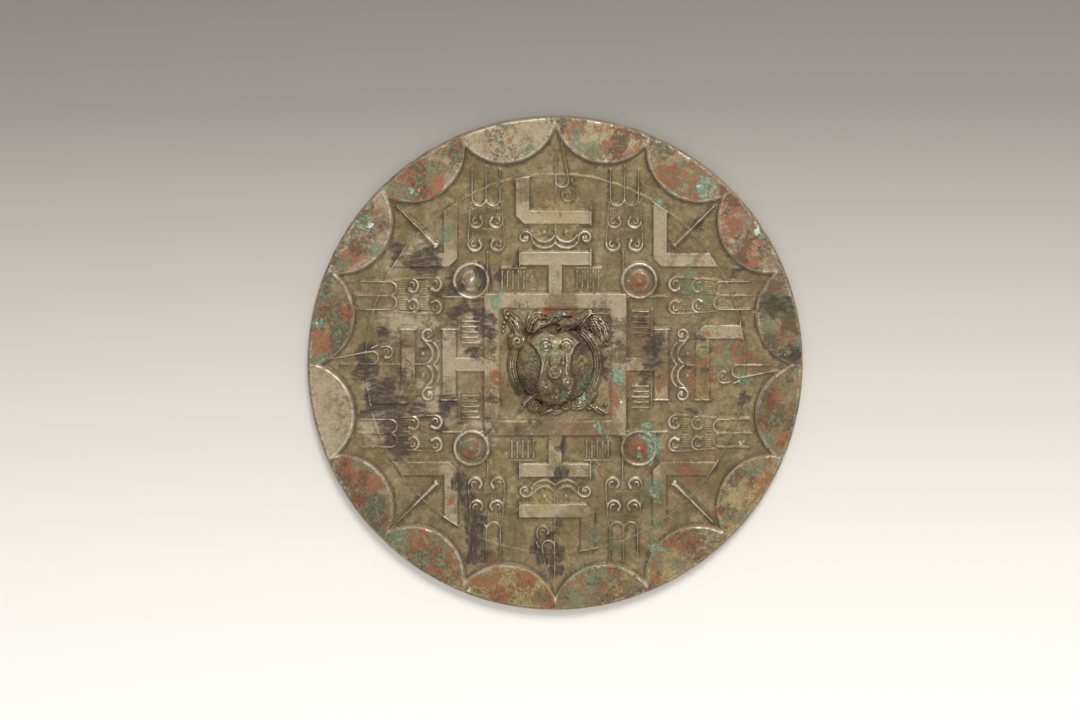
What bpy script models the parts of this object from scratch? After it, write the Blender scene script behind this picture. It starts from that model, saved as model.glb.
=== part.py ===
"""Ancient bronze mirror with sixteen linked lobes, a squared field and a beast-shaped knob.

The mirror is one casting. It lies on its plain polished face with the decorated back up:
the origin is the centre of that face, +Z is up, and +Y is the top of the back's design.
Units are metres. The carved design is laid out on a grid of its own, with GRID_RADIUS steps
from the centre to the thin raised ring, so one step is one millimetre on this mirror.
"""
import math

import bmesh
import bpy
from mathutils import Matrix, Vector

# The disc
DISC_DIAMETER = 0.230
EDGE_TAPER = 0.0009             # the back is this much smaller in radius than the polished face
RIM_THICKNESS = 0.0050
FIELD_THICKNESS = 0.0031        # of the sunk field inside the lobes

# The sixteen lobes of the rim
LOBE_COUNT = 16
CUSP_INSET = 0.0021             # from the back's edge to the points between two lobes
LOBE_DEPTH = 0.0162             # how far a lobe reaches inward past those points
LOBE_BEVEL = 0.0013             # slope from a lobe's edge down to the field, seen from above
LOBE_ARC_POINTS = 6

# The raised ring and the flat bands of the square, the Ts, the Ls and the Vs
RING_GAP = 0.0080               # between the lobes and the raised ring
RING_WIDTH = 0.0009
BAND_HEIGHT = 0.0006
SQUARE_HEIGHT = 0.0008
LINE_WIDTH = 0.0012             # of the raised threads, which are rooted in the field
LINE_ROOT = 0.00012             # a thread's axis below the field
THREAD_SIDES = 4
UNEVEN = 0.00003                # step between the levels of threads that meet, as cast
BEAD_SWELL = 1.7                # a thread's end bead, as a share of the thread's width
MARK_HEIGHT = 0.0005
MARKS_IN_ROW = 3
MARK_PITCH = 5.0                # in grid steps
MARK_WIDTH = 0.9
MARK_TOP = 43.6

# The four bosses
BOSS_RADIUS = 0.0051
BOSS_HEIGHT = 0.0024
BOSS_RING_RADIUS = 0.0078

# The knob
KNOB_RADIUS = 0.0182
KNOB_HEIGHT = 0.0128            # of the bare dome above the field
COIL_WIDTH = 0.0040             # of the body wound round the foot of the dome
COIL_HEIGHT = 0.0034
RIDGE_WIDTH = 0.0018            # of the ridges along the mask's edges
NOSE_WIDTH = 0.0026
HORN_WIDTH = 0.0022
LIMB_SIDES = 6
CLAW_SHARE = 0.45               # a claw's width as a share of its limb's
CORD_HOLE_WIDTH = 0.0075
CORD_HOLE_HEIGHT = 0.0065
CORD_HOLE_STEP = 0.0002         # the hole's floor above the field

# The design, in grid steps
GRID_RADIUS = 87.8
SQUARE_HALF = 32.9
SQUARE_BAND = 7.2
BAND = 6.2                      # width of the bands of T, L and V
T_TOP = 52.2
T_HALF = 16.8
L_FOOT = 65.0
L_LEFT = 18.2
L_RIGHT = 16.8
V_CORNER = 45.3
NOTCH = 3.8                     # the cut-off corners of L and V
BOSS_PLACE = 38.8
FEATHER_PLACE = 31.9
FEATHER_RIM = 90.0
FEATHER_BEND = 76.5
FEATHER_HALF = 6.5

disc_radius = DISC_DIAMETER / 2
back_radius = disc_radius - EDGE_TAPER
cusp_radius = back_radius - CUSP_INSET
lobe_reach = cusp_radius - LOBE_DEPTH
ring_radius = lobe_reach - RING_GAP
step = ring_radius / GRID_RADIUS
half_lobe = math.pi / LOBE_COUNT
lobe_centre = (cusp_radius ** 2 - lobe_reach ** 2) / (2 * (cusp_radius * math.cos(half_lobe) - lobe_reach))
lobe_radius = lobe_centre - lobe_reach

SINK = 0.0006                   # how deep each raised form is rooted in the plate
CUTTER_SPARE = 0.002            # how far a cutter reaches past what it cuts
DISC_SEGMENTS = 80
RING_SEGMENTS = 48

part = bpy.data.collections.new("bronze_mirror")
cutters = bpy.data.collections.new("cutters")
relief = bpy.data.collections.new("relief")


def clear_scene():
    """Remove what a new file holds and link the collections."""
    for thing in list(bpy.data.objects):
        bpy.data.objects.remove(thing, do_unlink=True)
    for collection in (part, cutters, relief):
        bpy.context.scene.collection.children.link(collection)


def mesh_object(name, mesh, collection):
    """Wrap a mesh in an object of the given collection."""
    thing = bpy.data.objects.new(name, mesh)
    collection.objects.link(thing)
    return thing


def as_mesh(thing, collection):
    """Turn a curve, or an object with modifiers, into a plain welded mesh object."""
    bpy.context.view_layer.update()
    evaluated = thing.evaluated_get(bpy.context.evaluated_depsgraph_get())
    mesh = bpy.data.meshes.new_from_object(evaluated)
    name = thing.name
    place = thing.matrix_world.copy()
    bpy.data.objects.remove(thing, do_unlink=True)
    form = bmesh.new()
    form.from_mesh(mesh)
    bmesh.ops.remove_doubles(form, verts=form.verts, dist=1e-6)
    bmesh.ops.recalc_face_normals(form, faces=form.faces)
    form.to_mesh(mesh)
    form.free()
    made = mesh_object(name, mesh, collection)
    made.matrix_world = place
    return made


def turned(name, profile, segments, place=(0.0, 0.0, 0.0)):
    """A turned solid: the profile of (radius, height) runs from the top down its outer side."""
    mesh = bpy.data.meshes.new(name)
    points = [(radius, 0.0, height) for radius, height in profile]
    mesh.from_pydata(points, [(i, i + 1) for i in range(len(points) - 1)], [])
    thing = mesh_object(name, mesh, relief)
    thing.location = place
    screw = thing.modifiers.new("turn", "SCREW")
    screw.steps = segments
    screw.render_steps = segments
    screw.use_merge_vertices = True
    screw.merge_threshold = 1e-6
    return as_mesh(thing, relief)


def slab(name, outlines, low, high):
    """Flat outlines in grid steps, each one extruded from one height to another."""
    curve = bpy.data.curves.new(name, "CURVE")
    curve.dimensions = "2D"
    curve.fill_mode = "BOTH"
    curve.extrude = (high - low) / 2
    for outline in outlines:
        spline = curve.splines.new("POLY")
        spline.points.add(len(outline) - 1)
        for point, (x, y) in zip(spline.points, outline):
            point.co = (x * step, y * step, 0.0, 1.0)
        spline.use_cyclic_u = True
    thing = mesh_object(name, curve, relief)
    thing.location.z = (high + low) / 2
    return as_mesh(thing, relief)


def threads(name, strokes, width, sides):
    """Raised threads: each stroke is a list of (x, y, z, thickness share) in metres."""
    curve = bpy.data.curves.new(name, "CURVE")
    curve.dimensions = "3D"
    curve.bevel_depth = width / 2
    curve.bevel_resolution = (sides - 4) // 2
    curve.use_fill_caps = True
    for stroke in strokes:
        spline = curve.splines.new("POLY")
        spline.points.add(len(stroke) - 1)
        for point, (x, y, z, share) in zip(spline.points, stroke):
            point.co = (x, y, z, 1.0)
            point.radius = share
    return as_mesh(mesh_object(name, curve, relief), relief)


def ball(name, centre, radii, segments=10, rings=6, turn=0.0):
    """A stretched ball, turned about +Z."""
    mesh = bpy.data.meshes.new(name)
    form = bmesh.new()
    bmesh.ops.create_uvsphere(form, u_segments=segments, v_segments=rings, radius=1.0)
    shape = Matrix.Translation(centre) @ Matrix.Rotation(turn, 4, "Z") @ Matrix.Diagonal((*radii, 1.0))
    bmesh.ops.transform(form, matrix=shape, verts=form.verts)
    form.to_mesh(mesh)
    form.free()
    return mesh_object(name, mesh, relief)


def arc(x, y, radius, start, end, count):
    """Points along an arc between two angles in degrees."""
    turns = [math.radians(start + (end - start) * i / (count - 1)) for i in range(count)]
    return [(x + radius * math.cos(a), y + radius * math.sin(a)) for a in turns]


def quarter_turned(point, quarters):
    """A point of the top side's design carried clockwise to another side."""
    x, y = point
    for _ in range(quarters % 4):
        x, y = y, -x
    return x, y


def on_field(stroke, order=0):
    """Place a stroke of grid points at the level of the field's threads."""
    points, shares = stroke
    level = FIELD_THICKNESS - LINE_ROOT + UNEVEN * (order % 4)
    return [(x * step, y * step, level, share) for (x, y), share in zip(points, shares)]


def plain(points):
    """A thread of even thickness."""
    return points, [1.0] * len(points)


def beaded(points):
    """A thread that swells into a bead at its end."""
    return points, [1.0] * (len(points) - 1) + [BEAD_SWELL]


def placed_stroke(stroke, quarter, order):
    """A stroke of the top side carried to its own side and set on the field."""
    points, shares = stroke
    return on_field(([quarter_turned(point, quarter) for point in points], shares), order)


# The rim


def lobed_outline(radius):
    """The edge of all the lobes when each is an arc of this radius about its own centre."""
    reach = lobe_centre * math.sin(half_lobe)
    cusp = lobe_centre * math.cos(half_lobe) - math.sqrt(radius ** 2 - reach ** 2)
    opening = math.atan2(cusp * math.sin(half_lobe), lobe_centre - cusp * math.cos(half_lobe))
    points = []
    for lobe in range(LOBE_COUNT):
        facing = math.pi / 2 + half_lobe * (2 * lobe + 1)
        middle = Vector((lobe_centre * math.cos(facing), lobe_centre * math.sin(facing)))
        for i in range(LOBE_ARC_POINTS - 1):
            swing = opening * (2 * i / (LOBE_ARC_POINTS - 1) - 1)
            along = facing + math.pi - swing
            points.append(middle + radius * Vector((math.cos(along), math.sin(along))))
    return points


def recess_cutter():
    """The sunk field: a loft from its lobed foot up to the lobes' wider edge."""
    levels = (
        (FIELD_THICKNESS, lobe_radius + LOBE_BEVEL),
        (RIM_THICKNESS, lobe_radius),
        (RIM_THICKNESS + CUTTER_SPARE, lobe_radius),
    )
    form = bmesh.new()
    rings = []
    for height, radius in levels:
        rings.append([form.verts.new((*point, height)) for point in lobed_outline(radius)])
    for low, high in zip(rings, rings[1:]):
        for i in range(len(low)):
            j = (i + 1) % len(low)
            form.faces.new((low[i], low[j], high[j], high[i]))
    form.faces.new(rings[0])
    form.faces.new(rings[-1])
    bmesh.ops.recalc_face_normals(form, faces=form.faces)
    mesh = bpy.data.meshes.new("sunk_field")
    form.to_mesh(mesh)
    form.free()
    return as_cutter(mesh_object("sunk_field", mesh, cutters))


def as_cutter(thing):
    """Show a cutter as wire only and keep it out of the part."""
    thing.display_type = "WIRE"
    thing.hide_render = True
    return thing


def plate():
    """The round plate with its slightly tapered edge."""
    form = bmesh.new()
    bmesh.ops.create_cone(
        form,
        cap_ends=True,
        segments=DISC_SEGMENTS,
        radius1=disc_radius,
        radius2=back_radius,
        depth=RIM_THICKNESS,
        matrix=Matrix.Translation((0.0, 0.0, RIM_THICKNESS / 2)),
    )
    mesh = bpy.data.meshes.new("bronze_mirror")
    form.to_mesh(mesh)
    form.free()
    return mesh_object("bronze_mirror", mesh, part)


# The squared design


def square_frame():
    """The flat frame round the knob."""
    outlines = []
    for half in (SQUARE_HALF, SQUARE_HALF - SQUARE_BAND):
        outlines.append([(half, half), (-half, half), (-half, -half), (half, -half)])
    slab("square_frame", outlines, FIELD_THICKNESS - SINK, FIELD_THICKNESS + SQUARE_HEIGHT)


def ring_height_at(x):
    """How far up the design the raised ring stands at this distance from the middle."""
    return math.sqrt(GRID_RADIUS ** 2 - x ** 2)


def t_outline():
    """A T that stands on the square frame."""
    stem = BAND / 2
    foot = SQUARE_HALF - SQUARE_BAND / 2
    under = T_TOP - BAND
    return [
        (-stem, foot),
        (stem, foot),
        (stem, under),
        (T_HALF, under),
        (T_HALF, T_TOP),
        (-T_HALF, T_TOP),
        (-T_HALF, under),
        (-stem, under),
    ]


def l_outline():
    """An L whose arm reaches the raised ring, with a cut-off corner."""
    top = L_FOOT + BAND
    inner = BAND - L_LEFT
    return [
        (NOTCH - L_LEFT, L_FOOT),
        (L_RIGHT, L_FOOT),
        (L_RIGHT, top),
        (inner, top),
        (inner, ring_height_at(inner)),
        (-L_LEFT, ring_height_at(L_LEFT)),
        (-L_LEFT, L_FOOT + NOTCH),
    ]


def v_outline():
    """A V in the corner of the design, both arms cut off by the raised ring."""
    inner = V_CORNER
    outer = V_CORNER + BAND
    return [
        (inner + NOTCH, inner),
        (ring_height_at(inner), inner),
        (ring_height_at(outer), outer),
        (outer, outer),
        (outer, ring_height_at(outer)),
        (inner, ring_height_at(inner)),
        (inner, inner + NOTCH),
    ]


def bands():
    """The Ts, Ls and Vs on all four sides."""
    for quarter in range(4):
        outlines = []
        for outline in (t_outline(), l_outline(), v_outline()):
            outlines.append([quarter_turned(point, quarter) for point in outline])
        # the T is sunk less deep than the square frame, so that no two faces lie in one plane
        low = FIELD_THICKNESS - SINK * 0.8
        slab(f"bands_{quarter}", outlines, low, FIELD_THICKNESS + BAND_HEIGHT)


def thin_ring():
    """The thin raised ring that bounds the design."""
    half = RING_WIDTH / 2
    profile = [
        (ring_radius, FIELD_THICKNESS + half),
        (ring_radius + half, FIELD_THICKNESS - half / 2),
        (ring_radius, FIELD_THICKNESS - SINK),
        (ring_radius - half, FIELD_THICKNESS - half / 2),
        (ring_radius, FIELD_THICKNESS + half),
    ]
    turned("thin_ring", profile, RING_SEGMENTS)


# The drawn ornament of one side, in grid steps


def curl(side, x, y, radius):
    """A hook that opens towards the rim and ends in a bead on its inner side."""
    hook = arc(x, y, radius, -10, -165, 4)
    hook.append((x - radius * 0.75, y + radius * 0.45))
    return [(side * px, py) for px, py in hook]


def feather_half(side):
    """One half of a feather: the bent rim thread, the outer thread with its curl, an upper curl."""
    bend = FEATHER_HALF / 2
    petal = [(FEATHER_HALF, FEATHER_RIM)] + arc(bend, FEATHER_BEND, bend, 0, -150, 4)
    outer = [(side * 7.3, 73.4), (side * 8.0, 66.0), (side * 8.3, 57.5)]
    return [
        plain([(side * x, y) for x, y in petal]),
        beaded(outer + curl(side, 5.3, 55.7, 3.0)),
        beaded(curl(side, 4.7, 66.2, 2.9)),
    ]


def feathers():
    """The threads of the two feathers on one side."""
    strokes = []
    for axis in (-FEATHER_PLACE, FEATHER_PLACE):
        strokes.append(plain([(axis, FEATHER_RIM), (axis, FEATHER_BEND)]))
        for side in (-1, 1):
            for points, shares in feather_half(side):
                strokes.append(([(axis + x, y) for x, y in points], shares))
    return strokes


def scroll():
    """The paired waves between T and L, with a spiral at each end."""
    strokes = []
    turns = 7
    spiral = []
    for i in range(turns):
        angle = math.radians(205 - 330 * i / (turns - 1))
        radius = 3.4 - 2.4 * i / (turns - 1)
        spiral.append((14.0 + radius * math.cos(angle), 58.7 + radius * math.sin(angle)))
    upper = arc(5.1, 61.9, 5.2, 208, 332, 4)
    lower = arc(5.1, 60.4, 6.5, 219, 321, 4)
    for side in (-1, 1):
        for points, shares in (plain(upper), plain(lower), beaded(spiral)):
            strokes.append(([(side * x, y) for x, y in points], shares))
    return strokes


def pendant():
    """The hanging thread and hook on the middle of one side."""
    loop = [(0.3, 99.6), (0.3, 84.6)] + arc(3.2, 84.6, 2.9, 180, 360, 4) + [(2.6, 103.6)]
    hook = [(8.0, 80.6)] + arc(5.8, 78.0, 2.7, -10, -200, 5)
    return [
        plain(loop),
        plain([(0.0, 99.6), (0.0, L_FOOT + BAND)]),
        plain([(0.0, L_FOOT), (0.0, 59.8)]),
        beaded(hook),
        plain([(7.6, 85.0), (8.6, 82.8)]),
    ]


def corner_lines():
    """The threads that carry the square's sides on past its corners."""
    edge = SQUARE_HALF - 1.6
    start = SQUARE_HALF - 1.0
    return [plain([(side * edge, start), (side * edge, T_TOP)]) for side in (-1, 1)]


def pin():
    """The tapered pin that points at the corner of a V."""
    return [(55.4, 55.4), (56.2, 56.2), (71.0, 71.0)], [1.6, 1.3, 0.5]


def marks():
    """Rows of plain upright strokes beside the stem of a T, by turns longer and shorter."""
    outlines = []
    for row_start in (9.6, -25.0):
        for i in range(MARKS_IN_ROW):
            x = row_start + i * MARK_PITCH
            low = 35.2 if i % 2 else 36.2
            outlines.append([(x, low), (x + MARK_WIDTH, low), (x + MARK_WIDTH, MARK_TOP), (x, MARK_TOP)])
    return outlines


def drawn_ornament():
    """All threads, beads, pins and marks of the four sides."""
    for quarter in range(4):
        strokes = feathers() + scroll() + pendant() + corner_lines() + [pin()]
        placed = [placed_stroke(stroke, quarter, order) for order, stroke in enumerate(strokes)]
        threads(f"threads_{quarter}", placed, LINE_WIDTH, THREAD_SIDES)
        for side in (-1, 1):
            x, y = quarter_turned((side * 5.1, 61.3), quarter)
            place = (x * step, y * step, FIELD_THICKNESS - UNEVEN)
            ball(f"bead_{quarter}_{side}", place, (LINE_WIDTH * 0.8,) * 3, 6, 4)
        outlines = []
        for outline in marks():
            outlines.append([quarter_turned(point, quarter) for point in outline])
        slab(f"marks_{quarter}", outlines, FIELD_THICKNESS - SINK * 0.6, FIELD_THICKNESS + MARK_HEIGHT)


def bosses():
    """The four pointed bosses, each in its ring."""
    place = BOSS_PLACE * step
    half = LINE_WIDTH / 2
    dome = [
        (0.0, BOSS_HEIGHT * 1.1),
        (BOSS_RADIUS * 0.22, BOSS_HEIGHT * 0.86),
        (BOSS_RADIUS * 0.6, BOSS_HEIGHT * 0.66),
        (BOSS_RADIUS * 0.9, BOSS_HEIGHT * 0.3),
        (BOSS_RADIUS, 0.0),
        (BOSS_RADIUS, -SINK),
        (0.0, -SINK),
    ]
    hoop = [
        (BOSS_RING_RADIUS, half * 1.3),
        (BOSS_RING_RADIUS + half, -half * 0.3),
        (BOSS_RING_RADIUS, -SINK * 1.2),
        (BOSS_RING_RADIUS - half, -half * 0.3),
        (BOSS_RING_RADIUS, half * 1.3),
    ]
    for quarter in range(4):
        x, y = quarter_turned((place, place), quarter)
        turned(f"boss_{quarter}", dome, 12, (x, y, FIELD_THICKNESS))
        turned(f"boss_ring_{quarter}", hoop, 16, (x, y, FIELD_THICKNESS))


# The knob, laid out in shares of its own radius


def dome_height(x, y):
    """Height of the knob's dome above the plate at a place given in shares of its radius."""
    return KNOB_HEIGHT * math.sqrt(max(0.0, 1.0 - x * x - y * y))


def on_knob(x, y, lift, share=1.0):
    """A point of a thread that lies on the dome, or on the field beyond it."""
    level = FIELD_THICKNESS + dome_height(x, y) + lift
    return x * KNOB_RADIUS, y * KNOB_RADIUS, level, share


def over_knob(paths):
    """Threads over the knob: each path lists (x, y, lift) with or without a thickness share."""
    return [[on_knob(*place) for place in path] for path in paths]


def knob_dome():
    """The dome with the wound body round its foot."""
    rings = 6
    profile = []
    for i in range(rings):
        turn = math.pi / 2 * i / (rings - 1)
        profile.append((KNOB_RADIUS * math.sin(turn), KNOB_HEIGHT * math.cos(turn)))
    profile += [(KNOB_RADIUS, -SINK), (0.0, -SINK)]
    turned("knob_dome", profile, 24, (0.0, 0.0, FIELD_THICKNESS))
    outer = KNOB_RADIUS + COIL_WIDTH
    coil = [
        (KNOB_RADIUS - COIL_WIDTH * 0.3, COIL_HEIGHT * 0.9),
        (KNOB_RADIUS + COIL_WIDTH * 0.35, COIL_HEIGHT),
        (outer - COIL_WIDTH * 0.15, COIL_HEIGHT * 0.6),
        (outer, -SINK * 0.5),
        (KNOB_RADIUS - COIL_WIDTH * 0.3, -SINK * 0.5),
        (KNOB_RADIUS - COIL_WIDTH * 0.3, COIL_HEIGHT * 0.9),
    ]
    turned("knob_coil", coil, 24, (0.0, 0.0, FIELD_THICKNESS))


def beast_face():
    """The mask on top of the dome: its edges and brow, the nose, muzzle, eyes and tusks."""
    middle = (0.0, 0.0, FIELD_THICKNESS + KNOB_HEIGHT * 0.62)
    ball("mask", middle, (KNOB_RADIUS * 0.4, KNOB_RADIUS * 0.72, KNOB_HEIGHT * 0.5), 12, 7)
    left_edge = [(-0.6, 0.52, 0.0), (-0.42, 0.24, 0.0005), (-0.34, 0.02, 0.0006), (-0.4, -0.4, 0.0)]
    right_edge = [(0.6, 0.5, 0.0), (0.42, 0.24, 0.0005), (0.34, 0.02, 0.0006), (0.38, -0.4, 0.0)]
    brow = [(-0.6, 0.52, 0.0), (-0.3, 0.62, 0.0008), (0.3, 0.62, 0.0008), (0.6, 0.5, 0.0)]
    threads("face_ridges", over_knob([left_edge, right_edge, brow]), RIDGE_WIDTH, LIMB_SIDES)
    nose = [(0.0, 0.4, 0.0012, 0.8), (0.0, 0.1, 0.0020, 1.2), (-0.01, -0.1, 0.0018, 1.5)]
    threads("nose", over_knob([nose]), NOSE_WIDTH, LIMB_SIDES)
    x, y, z, _ = on_knob(-0.03, -0.27, 0.0012)
    ball("muzzle", (x, y, z), (0.0026, 0.0024, 0.0022), 10, 6)
    for side in (-1, 1):
        x, y, z, _ = on_knob(0.24 * side, 0.44, 0.0012)
        ball(f"eye_{side}", (x, y, z), (0.0020, 0.0020, 0.0014), 8, 6)
        x, y, z, _ = on_knob(0.3 * side + 0.06, -0.62, 0.0)
        ball(f"tusk_{side}", (x, y, z), (0.0014, 0.0014, 0.0014), 8, 5)


def limb(name, path, width, claws):
    """A limb along its path, with claws spread from its last point; a claw is (dx, dy)."""
    threads(name, over_knob([path]), width, LIMB_SIDES)
    x, y, _, _ = path[-1]
    rays = []
    for dx, dy in claws:
        rays.append([(x - dx * 0.3, y - dy * 0.3, 0.0005), (x + dx, y + dy, 0.0002, 0.6)])
    threads(f"{name}_claws", over_knob(rays), width * CLAW_SHARE, THREAD_SIDES)


def beast_limbs():
    """The four limbs that reach into the square's corners, and the ears and horns."""
    limb(
        "limb_upper_left",
        [(-0.6, 0.45, 0.0, 0.8), (-0.92, 0.56, 0.0022, 1.2), (-1.1, 0.82, 0.0012, 0.7)],
        0.0044,
        [(-0.22, 0.14), (-0.2, 0.3), (-0.06, 0.42), (0.18, 0.4)],
    )
    limb(
        "limb_upper_right",
        [(0.66, 0.66, 0.0008, 1.0), (0.98, 0.74, 0.0024, 1.3), (1.2, 0.92, 0.0008, 1.0)],
        0.0042,
        [(0.18, 0.26), (0.02, 0.34), (0.16, 0.04)],
    )
    limb(
        "limb_lower_left",
        [(-0.5, -0.78, 0.0006, 0.9), (-0.68, -0.92, 0.0016, 1.0), (-0.72, -1.06, 0.0008, 0.8)],
        0.0036,
        [(-0.26, -0.12), (-0.12, -0.24), (0.08, -0.26), (0.3, -0.18)],
    )
    limb(
        "limb_lower_right",
        [(0.62, -0.72, 0.0006, 0.9), (0.86, -0.9, 0.0018, 1.1), (1.02, -1.02, 0.0008, 0.8)],
        0.0038,
        [(0.3, -0.02), (0.3, -0.18), (0.1, -0.28), (-0.3, -0.16)],
    )
    horns = [
        [(0.1, 0.74, 0.0), (0.3, 1.0, 0.0026), (0.56, 1.08, 0.0018), (0.68, 0.98, 0.0008)],
        [(-0.2, 0.74, 0.0), (-0.5, 0.92, 0.0016), (-0.72, 1.08, 0.0010)],
        [(-0.64, 1.08, 0.0008), (-0.56, 1.26, 0.0006), (-0.36, 1.28, 0.0004)],
    ]
    threads("horns", over_knob(horns), HORN_WIDTH, LIMB_SIDES)


def cord_hole_cutter():
    """The arched hole for the cord, right through the knob under the beast."""
    length = 2 * (KNOB_RADIUS + COIL_WIDTH + CUTTER_SPARE)
    spring = CORD_HOLE_HEIGHT - CORD_HOLE_WIDTH / 2
    outline = [(CORD_HOLE_WIDTH / 2, 0.0)]
    outline += arc(0.0, spring, CORD_HOLE_WIDTH / 2, 0, 180, 7)
    outline += [(-CORD_HOLE_WIDTH / 2, 0.0)]
    mesh = bpy.data.meshes.new("cord_hole")
    form = bmesh.new()
    start = [form.verts.new((x, -length / 2, FIELD_THICKNESS + CORD_HOLE_STEP + z)) for x, z in outline]
    face = form.faces.new(start)
    swept = bmesh.ops.extrude_face_region(form, geom=[face])
    moved = [item for item in swept["geom"] if isinstance(item, bmesh.types.BMVert)]
    bmesh.ops.translate(form, verts=moved, vec=(0.0, length, 0.0))
    bmesh.ops.recalc_face_normals(form, faces=form.faces)
    form.to_mesh(mesh)
    form.free()
    return as_cutter(mesh_object("cord_hole", mesh, cutters))


def bronze():
    """Tin bronze with an olive-brown patina."""
    material = bpy.data.materials.new("patinated_tin_bronze")
    material.use_nodes = True
    shader = material.node_tree.nodes["Principled BSDF"]
    shader.inputs["Base Color"].default_value = (0.19, 0.145, 0.072, 1.0)
    shader.inputs["Metallic"].default_value = 0.8
    shader.inputs["Roughness"].default_value = 0.45
    return material


def join(thing, operand, operation):
    """Add or cut with an object, or with all objects of a collection."""
    boolean = thing.modifiers.new(operation.lower(), "BOOLEAN")
    boolean.operation = operation
    boolean.solver = "EXACT"
    if isinstance(operand, bpy.types.Collection):
        boolean.operand_type = "COLLECTION"
        boolean.collection = operand
        boolean.use_self = True
    else:
        boolean.object = operand


def build_mirror():
    """Cast the whole mirror as one solid."""
    clear_scene()
    blank = plate()
    square_frame()
    bands()
    thin_ring()
    drawn_ornament()
    bosses()
    knob_dome()
    beast_face()
    beast_limbs()
    for form in relief.objects:
        as_cutter(form)
    join(blank, recess_cutter(), "DIFFERENCE")
    join(blank, relief, "UNION")
    join(blank, cord_hole_cutter(), "DIFFERENCE")
    blank.data.materials.append(bronze())


build_mirror()
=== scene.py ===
"""Looks of the ancient bronze mirror: its fine relief, its beast knob, its patina, light and camera.

The mirror lies on its polished face. All making is done in millimetres about the centre of that
face, with the top of the back's design along +Y, and turned to metres when a mesh is made.
"""
import math

import bmesh
import bpy
import numpy as np
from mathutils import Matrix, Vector, geometry


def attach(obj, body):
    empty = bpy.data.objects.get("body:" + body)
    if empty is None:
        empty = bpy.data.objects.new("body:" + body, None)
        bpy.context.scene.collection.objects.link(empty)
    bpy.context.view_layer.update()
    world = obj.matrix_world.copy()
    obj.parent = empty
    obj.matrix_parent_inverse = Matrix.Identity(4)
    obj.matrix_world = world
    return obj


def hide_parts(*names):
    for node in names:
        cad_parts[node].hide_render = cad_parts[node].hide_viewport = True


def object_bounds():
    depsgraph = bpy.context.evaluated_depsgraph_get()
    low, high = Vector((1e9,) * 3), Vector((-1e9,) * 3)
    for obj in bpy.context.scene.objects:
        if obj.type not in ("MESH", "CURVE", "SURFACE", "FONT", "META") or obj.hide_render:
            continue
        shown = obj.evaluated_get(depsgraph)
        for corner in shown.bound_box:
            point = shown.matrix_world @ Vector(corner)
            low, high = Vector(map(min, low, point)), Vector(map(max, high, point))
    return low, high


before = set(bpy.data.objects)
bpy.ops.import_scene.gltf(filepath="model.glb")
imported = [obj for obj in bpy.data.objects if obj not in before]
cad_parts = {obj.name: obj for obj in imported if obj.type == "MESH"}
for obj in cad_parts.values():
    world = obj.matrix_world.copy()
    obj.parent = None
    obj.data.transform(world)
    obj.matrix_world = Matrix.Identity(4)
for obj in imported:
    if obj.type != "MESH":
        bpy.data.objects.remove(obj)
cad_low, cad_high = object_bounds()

MM = 0.001

# Sizes of the casting
DISC_RADIUS = cad_high.x / MM
EDGE_TAPER = 0.9
RIM_TOP = 5.0
FIELD = 3.1
LOBES = 16
CUSP_INSET = 2.1
LOBE_DEPTH = 16.2
LOBE_BEVEL = 1.3
RING_GAP = 8.0
RING_WIDTH = 0.9
BAND_RISE = 0.6
SQUARE_RISE = 0.8

back_radius = DISC_RADIUS - EDGE_TAPER
cusp_radius = back_radius - CUSP_INSET
lobe_reach = cusp_radius - LOBE_DEPTH
ring_radius = lobe_reach - RING_GAP
half_lobe = math.pi / LOBES
cusp_along = cusp_radius * math.cos(half_lobe)
lobe_centre = (cusp_radius ** 2 - lobe_reach ** 2) / (2 * (cusp_along - lobe_reach))
lobe_radius = lobe_centre - lobe_reach

# The design
SQUARE_HALF = 32.9
SQUARE_BAND = 7.2
BAND = 6.2
T_TOP = 52.2
T_HALF = 16.8
L_FOOT = 65.0
L_LEFT = 18.2
L_RIGHT = 16.8
V_CORNER = 45.3
NOTCH = 3.8
BOSS_PLACE = 38.8
BOSS_RADIUS = 5.1
BOSS_HEIGHT = 2.4
BOSS_RING_RADIUS = 7.8
FEATHER_PLACE = 31.9
FEATHER_RIM = 90.0
FEATHER_BEND = 76.5
FEATHER_HALF = 6.5
MARK_PITCH = 2.5
MARK_FOOT = 35.4
MARK_TOP = 43.2

square_inner = SQUARE_HALF - SQUARE_BAND        # half of the floor that the knob stands on

# The knob
KNOB_RADIUS = 18.2
KNOB_HEIGHT = 12.8
COIL_WIDTH = 4.0
COIL_HEIGHT = 3.4
CORD_HOLE_WIDTH = 7.5
CORD_HOLE_HEIGHT = 6.5

# Spacing of the mesh's points
OPEN_PITCH = 1.12
THREAD_PITCH = 0.62
EDGE_PITCH = 0.85
CLEAR_CELL = 0.62
KNOB_PITCH = 0.31
NARROW = 0.38                   # a thread of less than this half width has no points on its flanks
STREAK = 0.32                   # how far soot is drawn out along the threads

# The photograph's frame, for what is placed on it
PHOTO_CENTRE = (556.0, 363.0)
PHOTO_SCALE = 0.4665            # mm to a pixel


def on_photo(px, py):
    """Where a pixel of the 1080 x 719 photograph lies on the mirror, in mm."""
    return (px - PHOTO_CENTRE[0]) * PHOTO_SCALE, (PHOTO_CENTRE[1] - py) * PHOTO_SCALE


# Soft steps and random mottling


def smooth(low, high, value):
    """0 below low, 1 above high, with a soft step between them."""
    share = np.clip((value - low) / (high - low), 0.0, 1.0)
    return share * share * (3 - 2 * share)


def ridge(value, middle, wide):
    """1 at the middle, falling off softly on both sides."""
    return np.exp(-((value - middle) / wide) ** 2)


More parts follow.
